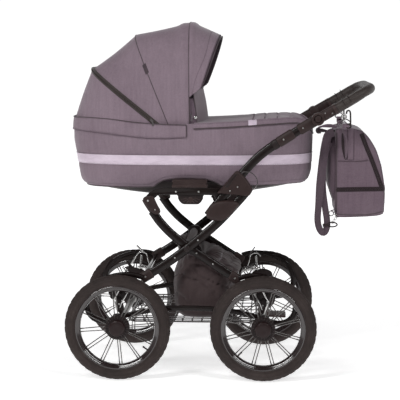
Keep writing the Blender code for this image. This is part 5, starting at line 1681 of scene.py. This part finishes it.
bag_me = puff(rings(bag_rings), 0.0055, 0.0075, bag_pin, 3.2)
for v in bag_me.vertices:
    x, y, z = v.co
    s = 1 if y > 0 else -1
    if abs(y) > 0.125:
        dd = 0.0
        dd += 0.0030 * math.exp(-((x - SIDE_X) / 0.0028) ** 2)
        dd += 0.0028 * math.exp(-((z - POCKET_Z) / 0.0025) ** 2) * step(0.490, 0.496, x) * (1 - step(0.592, 0.604, x))
        dd += 0.0022 * math.exp(-((z - 0.5620) / 0.006) ** 2) * 0.5
        dd -= 0.0022 * wrinkle(v.co, 11.0, 3.0) + 0.0008 * wrinkle((x, y, z * 2.4), 34.0, 7.0)
        v.co.y -= s * dd
    else:
        n = 0.0016 * wrinkle(v.co, 9.0, 5.0)
        v.co.x += n * (1 if x > 0.565 else -1) * step(0.0, 0.04, abs(x - 0.565))
    v.co.z -= 0.0020 * math.exp(-((y) / 0.09) ** 2) * step(0.80, 0.84, z)
from mathutils.bvhtree import BVHTree
bm_b = bmesh.new()
bm_b.from_mesh(bag_me)
bmesh.ops.triangulate(bm_b, faces=bm_b.faces[:])
bag_tree = BVHTree.FromBMesh(bm_b)
bm_b.free()
bag_ob = add("bag_body_cloth", bag_me, BAGCLOTH, "bag", ("bag_body",), 70)


def on_bag(p, d, lift):
    """Point of the bag's surface met from p along d, lifted off it, and the surface's normal."""
    hit, nrm, _, _ = bag_tree.ray_cast(Vector(p), Vector(d))
    if hit is None:
        hit, nrm, _, _ = bag_tree.find_nearest(Vector(p))
    if nrm.dot(Vector(d)) > 0:
        nrm = -nrm
    return hit + nrm * lift, nrm


def bag_core(v):
    return (0.565, 0.0, 0.69)


def bag_strip(name, path, width, mat, sides=(-1, 1), lift=0.0010, crown_h=0.0006, n=60, t=0.0010, teeth=False, leaf=False):
    """Strip of cloth or zip sewn on the bag's side faces along (x, z) points."""
    pts = smooth([(x, z, 0) for x, z in path], n)
    for s in sides:
        rows_ = []
        mid, outs, wds = [], [], []
        for i, p in enumerate(pts):
            a, b = pts[max(0, i - 1)], pts[min(n - 1, i + 1)]
            tx, tz = (b - a).x, (b - a).y
            l = math.hypot(tx, tz)
            nx, nz = -tz / l, tx / l
            row = []
            wd = width * (0.12 + 0.88 * math.sin(math.pi * min(1.0, 0.02 + 0.96 * i / (n - 1))) ** 0.75) if leaf else width
            for k in (-1.0, -0.5, 0.0, 0.5, 1.0):
                q, nrm = on_bag((p.x + nx * wd / 2 * k, s * 0.30, p.y + nz * wd / 2 * k), (0, -s, 0), lift + crown_h * (1 - abs(k)))
                row.append(q)
                if k == 0.0:
                    mid.append(q + nrm * 0.0006)
                    outs.append(nrm)
                    wds.append(Vector((nx, 0, nz)))
            rows_.append(row)
        sd = "left" if s < 0 else "right"
        add(name + "_" + sd, skin(rows_, bag_core, t), mat, "bag", (), 60)
        if teeth:
            add(name + "_teeth_" + sd, zipper(mid, outs, wds, 0.0032), PLASTIC_DARK, "bag", flat=True)


def bag_belt(name, z_of, y_lim, mat, width, lift=0.0010, n=90):
    """Strip round the bag's outer face (+X) from side to side at height z_of(y)."""
    rows_ = []
    for i in range(n):
        y = -y_lim + 2 * y_lim * i / (n - 1)
        row = []
        for k in (-1.0, -0.5, 0.0, 0.5, 1.0):
            q, nrm = on_bag((0.80, y, z_of(y) + width / 2 * k), (-1, 0, 0), lift + 0.0005 * (1 - abs(k)))
            row.append(q)
        rows_.append(row)
    add(name, skin(rows_, bag_core, 0.0010), mat, "bag", (), 60)


bag_strip("bag_zip_low", [(0.4885, 0.6310), (0.5400, 0.6325), (0.5900, 0.6335), (0.6430, 0.6345)], 0.0155, BAG_ZIP_AND_SHADE, teeth=True)
bag_belt("bag_zip_low_front", lambda y: 0.6345, 0.1385, BAG_ZIP_AND_SHADE, 0.0155)
bag_strip("bag_zip_slant", [(0.5680, 0.8200), (0.5840, 0.7780), (0.6010, 0.7380), (0.6190, 0.6920), (0.6380, 0.6400)], 0.0150, BAG_ZIP_AND_SHADE, teeth=True)
bag_strip("bag_side_seam", [(0.4865, 0.8220), (0.4865, 0.7400), (0.4865, 0.6500), (0.4875, 0.5560)], 0.0036, PIPING, lift=0.0004, crown_h=0.0010)
bag_strip("bag_pocket_edge", [(0.4910, 0.7275), (0.5300, 0.7265), (0.5700, 0.7285), (0.5900, 0.7320)], 0.0042, BAG_DEEP, lift=0.0004, crown_h=0.0012)
# painted shadow: a wider strip of the darker cloth under the side tab stands in for the shade round it
bag_strip("bag_tab_shadow", [(0.5325, 0.8340), (0.5325, 0.7850), (0.5330, 0.7320)], 0.0235, BAG_DEEP, lift=0.0008, crown_h=0.0004, t=0.0008)
bag_strip("bag_tab", [(0.5325, 0.8350), (0.5325, 0.7850), (0.5330, 0.7340)], 0.0180, BAGCLOTH, lift=0.0022, crown_h=0.0020, t=0.0022)
# painted shadow: a dark leaf-shaped strip stands in for the shade inside the fold
bag_strip("bag_leaf_shadow", [(0.5050, 0.8220), (0.5110, 0.7980), (0.5150, 0.7680), (0.5170, 0.7330)], 0.0230, BAG_ZIP_AND_SHADE, lift=0.0006, crown_h=0.0004, t=0.0008, leaf=True)
bag_strip("bag_leaf_fold", [(0.5060, 0.8310), (0.5150, 0.8050), (0.5180, 0.7760), (0.5170, 0.7360)], 0.0130, BAGCLOTH, lift=0.0016, crown_h=0.0060, t=0.0030, leaf=True)
bag_strip("bag_bottom_seam", [(0.4900, 0.5480), (0.5400, 0.5450), (0.6000, 0.5480), (0.6420, 0.5570)], 0.0032, PIPING, lift=0.0003, crown_h=0.0009)
# edge piping round both gussets
for s, sd in ((-1, "left"), (1, "right")):
    loop = []
    for x, z in bag_base:
        dx, dz = x - bag_c[0], z - bag_c[1]
        d = math.hypot(dx, dz)
        q, nrm = on_bag((bag_c[0] + dx * (d - 0.0070) / d, s * 0.30, bag_c[1] + dz * (d - 0.0070) / d), (0, -s, 0), 0.0004)
        loop.append(q)
    add("bag_edge_piping_" + sd, sweep(loop, circle(0.0015, 6), closed=True), BAG_DEEP, "bag")

# padded back panel, webbing loops and shoulder strap
bp = []
for x, s, q in ((0.4920, 1.0, 0.0), (0.4840, 1.0, 0.25), (0.4740, 0.995, 0.55), (0.4660, 0.970, 0.80), (0.4610, 0.930, 0.94), (0.4590, 0.860, 1.0), (0.4585, 0.60, 1.0)):
    row = []
    for i in range(84):
        t = 2 * math.pi * i / 84
        ct, st = math.cos(t), math.sin(t)
        y, z = 0.1320 * s * math.copysign(abs(ct) ** (2 / 5.0), ct), 0.6880 + 0.1370 * s * math.copysign(abs(st) ** (2 / 5.0), st)
        taper = step(0.548, 0.650, z) * (1 - 0.25 * step(0.78, 0.83, z))
        row.append(Vector((0.4920 + (x - 0.4920) * (0.12 + 0.88 * taper), y, z)))
    bp.append(row)
bp_me = puff(rings(bp), 0.0060, 0.0040, lambda co: 1.0 if co.x > 0.484 else (0.9 if abs(abs(co.y) - 0.033) < 0.003 else 0.0), 3.0)
for v in bp_me.vertices:
    if v.co.x < 0.486:
        v.co.x += 0.0016 * wrinkle(v.co, 13.0, 4.0)
# painted shade: the back panel takes the darker bag cloth, standing in for the shade on that face
bpo = add("bag_back_panel", bp_me, BAG_DEEP, "bag", (), 60)


def ribbon(pts, width, t, n=80, side=(0, 1, 0), waves=0.0):
    p = smooth(pts, n)
    sec = [(-t / 2, -width / 2), (-t / 2, -width / 4), (-t / 2, 0), (-t / 2, width / 4), (-t / 2, width / 2), (t / 2, width / 2), (t / 2, width / 4), (t / 2, 0),
           (t / 2, -width / 4), (t / 2, -width / 2)]
    me = sweep(p, sec, side=side)
    if waves:
        for v in me.vertices:
            v.co.x += waves * wrinkle(v.co, 14.0, 3.0)
    return me


def tape(pts, width, t, n=90, scales=None, wave=0.0):
    """Webbing that lies in the XZ plane: its width is seen from the side of the pram."""
    p = smooth(pts, n)
    sec = [(w * width / 2, h * t / 2) for w, h in ((-1, -1), (-0.5, -1), (0, -1), (0.5, -1), (1, -1), (1, 1), (0.5, 1), (0, 1), (-0.5, 1), (-1, 1))]
    me = sweep(p, sec, side=(0, 1, 0), scales=scales)
    if wave:
        for v in me.vertices:
            v.co.y += wave * wrinkle(v.co, 16.0, 3.0)
    return me


strap_pts = [(0.4760, -0.1350, 0.8250), (0.4620, -0.1370, 0.8200), (0.4530, -0.1395, 0.8040), (0.4430, -0.1400, 0.7476), (0.4345, -0.1405, 0.6697), (0.4280, -0.1410, 0.5892),
             (0.4245, -0.1415, 0.5325), (0.4290, -0.1420, 0.5030), (0.4400, -0.1420, 0.4850), (0.4500, -0.1400, 0.4870), (0.4565, -0.1370, 0.5050), (0.4560, -0.1350, 0.5300),
             (0.4500, -0.1330, 0.5679), (0.4420, -0.1320, 0.6291), (0.4410, -0.1310, 0.6969), (0.4480, -0.1300, 0.7500), (0.4620, -0.1290, 0.7900)]
ssc = [1.0 - 0.22 * step(40, 62, i) - 0.02 * step(80, 110, i) for i in range(150)]
add("bag_strap_web", tape(strap_pts, 0.0285, 0.0024, 150, ssc, 0.0030), STRAP_CLOTH, "bag", ("bag_strap",), 60)
strap_line = smooth(strap_pts, 150)
for k, w in (("a", -0.0115), ("b", 0.0115)):
    line, outs = [], []
    for i in range(3, 147):
        tg = (strap_line[i + 1] - strap_line[i - 1]).normalized()
        nv = Vector((0, 1, 0)).cross(tg).normalized()
        c = strap_line[i] + nv * w * ssc[i]
        line.append(c + Vector((0, -0.0013 + 0.0030 * wrinkle(c, 16.0, 3.0), 0)))
        outs.append(Vector((0, -1, 0)))
    add("bag_strap_stitch_" + k, tack(line, outs, 0.0060, 0.0040, 0.0005), MAUVE_DEEP, "bag")
# the pad and the strap's folded spare length
clump = [(0.4860, -0.1180, 0.8400), (0.4700, -0.1200, 0.8445), (0.4500, -0.1220, 0.8450), (0.4330, -0.1230, 0.8420), (0.4230, -0.1240, 0.8370)]
add("bag_strap_clump", tape(clump, 0.0120, 0.0040, 50, [0.55 + 0.45 * math.sin(math.pi * min(1.0, i / 38.0)) for i in range(50)], 0.0020), BAGCLOTH, "bag", (), 60)
clump = [(0.4200, -0.1270, 0.8330), (0.4330, -0.1280, 0.8305), (0.4480, -0.1280, 0.8285), (0.4640, -0.1270, 0.8270), (0.4800, -0.1240, 0.8290)]
add("bag_strap_clump_under", tape(clump, 0.0120, 0.0040, 50, [1.0 - 0.45 * step(12, 30, i) for i in range(50)], 0.0020), STRAP_DARK, "bag", (), 60)
clump = [(0.4220, -0.1300, 0.8370), (0.4190, -0.1310, 0.8300), (0.4230, -0.1300, 0.8235), (0.4330, -0.1290, 0.8240)]
add("bag_strap_clump_turn", tape(clump, 0.0080, 0.0040, 30, None, 0.0010), STRAP_DARK, "bag", (), 60)
ring_c = Vector((0.4700, -0.1400, 0.5500))
ringp = [ring_c + Vector((0.0075 * math.cos(a), 0.0, 0.0085 * math.sin(a))) for a in (2 * math.pi * k / 28 for k in range(28))]
add("bag_strap_ring", sweep(ringp, circle(0.0017, 8), closed=True), NICKEL, "bag")
chain = []
for k, (x, z) in enumerate(((0.4800, 0.5510), (0.4865, 0.5420), (0.4850, 0.5330), (0.4800, 0.5250), (0.4745, 0.5190))):
    lk = [Vector((x + 0.0030 * math.cos(a), -0.1400 + (0.0012 * math.sin(a) if k % 2 else 0.0), z + 0.0052 * math.sin(a))) for a in (2 * math.pi * q / 20 for q in range(20))]
    chain.append(sweep(lk, circle(0.0009, 6), closed=True))
add("bag_strap_chain", joined(chain), NICKEL, "bag")
car = [Vector((0.4740 + 0.0165 * math.cos(a), -0.1420, 0.5120 + 0.0075 * math.sin(a))) for a in (2 * math.pi * k / 40 for k in range(40))]
add("bag_strap_carabiner", sweep(car, circle(0.0024, 10), closed=True), PLASTIC_DARK, "bag")
snap = [cyl((0.4600, -0.1420, 0.5110), (0.4440, -0.1420, 0.5095), 0.0030, 12, 0.001), cyl((0.4450, -0.1420, 0.5040), (0.4430, -0.1420, 0.5150), 0.0022, 10, 0.0006)]
add("bag_strap_snap", joined(snap), PLASTIC_DARK, "bag")
add("bag_ring_tab", ribbon([(0.4860, -0.1340, 0.5620), (0.4780, -0.1345, 0.5610), (0.4700, -0.1350, 0.5585), (0.4775, -0.1350, 0.5540), (0.4862, -0.1340, 0.5530)], 0.018, 0.0016, 30),
    MAUVE_DEEP, "bag")

# straps from the bag's top corners to the hooks on the handle
for side, sy in SIDES:
    y = sy * 0.2080
    web = ribbon([(0.5100, sy * 0.1360, 0.8360), (0.5120, sy * 0.1500, 0.8420), (0.5120, sy * 0.1750, 0.8400), (0.5120, sy * 0.1960, 0.8390), (0.5120, sy * 0.2080, 0.8440),
                  (0.5120, sy * 0.2100, 0.8530), (0.5120, sy * 0.2060, 0.8580), (0.5120, sy * 0.1990, 0.8500)], 0.022, 0.0020, 60, side=(1, 0, 0))
    add("bag_corner_web_" + side, web, BAGCLOTH, "bag")
    dring = [Vector((0.4990, y, 0.8560)), Vector((0.5250, y, 0.8560)), Vector((0.5260, y, 0.8640)), Vector((0.5120, y, 0.8720)), Vector((0.4980, y, 0.8640))]
    add("bag_ring_" + side, sweep(smooth(dring, 40, True), circle(0.0019, 8), closed=True), NICKEL, "bag")
    body_h = [(0.5060, y, 0.8690), (0.4990, y, 0.8760), (0.4980, y, 0.8830), (0.5050, y, 0.8890), (0.5120, y, 0.8830), (0.5120, y, 0.8760)]
    spring = [(0.5040, y, 0.8880), (0.4990, y, 0.8960), (0.4975, y + sy * 0.010, 0.9060), (0.4985, y + sy * 0.026, 0.9120)]
    parts = [sweep(smooth(body_h, 40, True), circle(0.0026, 10), closed=True), sweep(smooth(spring, 16), circle(0.0022, 8)),
             cyl((0.4990, y, 0.8800), (0.5110, y, 0.8800), 0.0020, 10, 0.0004)]
    add("bag_hook_body_" + side, joined(parts), CHROME, "bag", ("bag_hook_" + side,))
    snap = [(0.5200, y, 0.8420), (0.5130, y, 0.8480), (0.5200, y, 0.8550), (0.5270, y, 0.8600), (0.5270, y, 0.8780), (0.5260, y, 0.8950), (0.5215, y, 0.9010),
            (0.5150, y + sy * 0.004, 0.8990), (0.5130, y + sy * 0.004, 0.8900)]
    hk = [sweep(smooth(snap, 44), circle(0.0027, 10)), sweep(smooth([(0.5200, y, 0.8420), (0.5280, y, 0.8470), (0.5270, y, 0.8600)], 16), circle(0.0027, 10)),
          cyl((0.5140, y, 0.8545), (0.5290, y, 0.8545), 0.0032, 12, 0.001)]
    add("bag_snap_hook_" + side, joined(hk), PLASTIC_DARK, "bag")
    for k, d in enumerate((0.0985, 0.1210)):
        c = along(d, sy * 0.2392, 0.0040 if k else 0.0025)
        lp = []
        r_ = 0.0170
        for q in range(36):
            a = 2 * math.pi * q / 36
            lp.append(c + Vector((0, 1, 0)) * (r_ * math.cos(a)) + Vector((-uz, 0, ux)) * (r_ * math.sin(a)))
        add("bag_hook_loop_%s_%d" % (side, k), sweep(lp, circle(0.0012, 8), closed=True), PLASTIC_DARK, "bag")
# carrying loop on top
add("bag_top_loop", ribbon([(0.5330, -0.045, 0.8380), (0.5250, -0.047, 0.8480), (0.5120, -0.048, 0.8530), (0.4990, -0.047, 0.8470), (0.4930, -0.045, 0.8370)], 0.022, 0.0020, 40),
    MAUVE_DEEP, "bag")
add("bag_top_loop_far", ribbon([(0.5330, 0.045, 0.8380), (0.5250, 0.047, 0.8480), (0.5120, 0.048, 0.8530), (0.4990, 0.047, 0.8470), (0.4930, 0.045, 0.8370)], 0.022, 0.0020, 40),
    MAUVE_DEEP, "bag")

# ------------------------------------------------------------------ floor, light, camera
fl = raw([(-9, -6, 0), (9, -6, 0), (9, 9, 0), (-9, 9, 0)], [(0, 1, 2, 3)])
fm, fnt, fb, _, flinks = tree("studio_floor")
fn = noise_node(fnt, coords(fnt), 3.0, 3.0)
fsep = fnt.nodes.new("ShaderNodeSeparateXYZ")
flinks.new(coords(fnt), fsep.inputs["Vector"])
fade = fnt.nodes.new("ShaderNodeMapRange")
fade.interpolation_type = "SMOOTHSTEP"
fade.inputs["From Min"].default_value, fade.inputs["From Max"].default_value = -2.6, -0.7
flinks.new(fsep.outputs["Y"], fade.inputs["Value"])
tone = math_node(fnt, "ADD", math_node(fnt, "MULTIPLY", fade.outputs["Result"], 0.30), math_node(fnt, "MULTIPLY", fn, 0.04))
tone = math_node(fnt, "ADD", tone, 0.48)
fcol = fnt.nodes.new("ShaderNodeCombineColor")
for ch in ("Red", "Green", "Blue"):
    flinks.new(tone, fcol.inputs[ch])
flinks.new(fcol.outputs["Color"], fb.inputs["Base Color"])
glow = fnt.nodes.new("ShaderNodeMapRange")
glow.inputs["From Min"].default_value, glow.inputs["From Max"].default_value = -0.2, 3.5
glow.inputs["To Min"].default_value, glow.inputs["To Max"].default_value = 0.60, 1.0
flinks.new(fsep.outputs["Y"], glow.inputs["Value"])
fb.inputs["Emission Color"].default_value = (1, 1, 1, 1)
flinks.new(math_node(fnt, "MULTIPLY", glow.outputs["Result"], math_node(fnt, "ADD", math_node(fnt, "MULTIPLY", fade.outputs["Result"], 0.85), 0.15)),
           fb.inputs["Emission Strength"])
fb.inputs["Roughness"].default_value = 0.9
fb.inputs["Specular IOR Level"].default_value = 0.1
fl.materials.append(fm)
floor = bpy.data.objects.new("studio_floor", fl)
bpy.context.scene.collection.objects.link(floor)

world = bpy.data.worlds.new("studio")
bpy.context.scene.world = world
world.use_nodes = True
wn = world.node_tree
bg = wn.nodes["Background"]
tc = wn.nodes.new("ShaderNodeTexCoord")
sep = wn.nodes.new("ShaderNodeSeparateXYZ")
wn.links.new(tc.outputs["Generated"], sep.inputs["Vector"])
rp = wn.nodes.new("ShaderNodeValToRGB")
rp.color_ramp.elements[0].position, rp.color_ramp.elements[0].color = 0.06, (1.0, 1.0, 1.0, 1)
rp.color_ramp.elements[1].position, rp.color_ramp.elements[1].color = 0.55, (0.16, 0.16, 0.165, 1)
wn.links.new(sep.outputs["Z"], rp.inputs["Fac"])
wn.links.new(rp.outputs["Color"], bg.inputs["Color"])
dim = wn.nodes.new("ShaderNodeMapRange")
dim.interpolation_type = "SMOOTHSTEP"
dim.inputs["From Min"].default_value, dim.inputs["From Max"].default_value = -0.45, 0.55
dim.inputs["To Min"].default_value, dim.inputs["To Max"].default_value = 0.30, 1.04
wn.links.new(sep.outputs["Y"], dim.inputs["Value"])
wn.links.new(dim.outputs["Result"], bg.inputs["Strength"])


def area_light(name, at, to, size, energy, color=(1, 1, 1), lie=None):
    ld = bpy.data.lights.new(name, "AREA")
    ld.shape = "RECTANGLE"
    ld.size, ld.size_y = size
    ld.energy = energy
    ld.color = color
    o = bpy.data.objects.new(name, ld)
    o.location = at
    o.rotation_euler = (Vector(to) - Vector(at)).to_track_quat("-Z", "Y").to_euler()
    if lie:
        z = (Vector(at) - Vector(to)).normalized()
        x = (Vector(lie) - z * Vector(lie).dot(z)).normalized()
        y = z.cross(x)
        o.rotation_euler = Matrix((x, y, z)).transposed().to_euler()
    bpy.context.scene.collection.objects.link(o)


area_light("key", (-0.9, -3.8, 1.9), (0, 0, 0.7), (2.4, 1.4), 8)
area_light("strip_left", (-2.05, -2.64, 2.90), (0, -0.24, 0.45), (2.4, 0.34), 66, lie=(0.77, 0, 0.64))
area_light("strip_right", (2.05, -2.64, 2.75), (0, -0.24, 0.45), (2.4, 0.34), 44, lie=(-0.74, 0, 0.67))
area_light("rim_back", (-0.4, 3.2, 3.2), (0, 0, 0.8), (2.6, 0.5), 18)

cam_d = bpy.data.cameras.new("camera")
cam_d.lens = 119.03
cam_d.sensor_width = 36.0
cam = bpy.data.objects.new("camera", cam_d)
yaw, pitch = math.radians(3.149), math.radians(6.778)
fw = Vector((-math.sin(yaw) * math.cos(pitch), math.cos(yaw) * math.cos(pitch), -math.sin(pitch)))
cam.location = (0.27086 + X0, -4.59387, 1.12278)
cam.rotation_euler = fw.to_track_quat("-Z", "Y").to_euler()
bpy.context.scene.collection.objects.link(cam)
bpy.context.scene.camera = cam
vs = bpy.context.scene.view_settings
vs.view_transform = "Standard"
vs.look = "None"
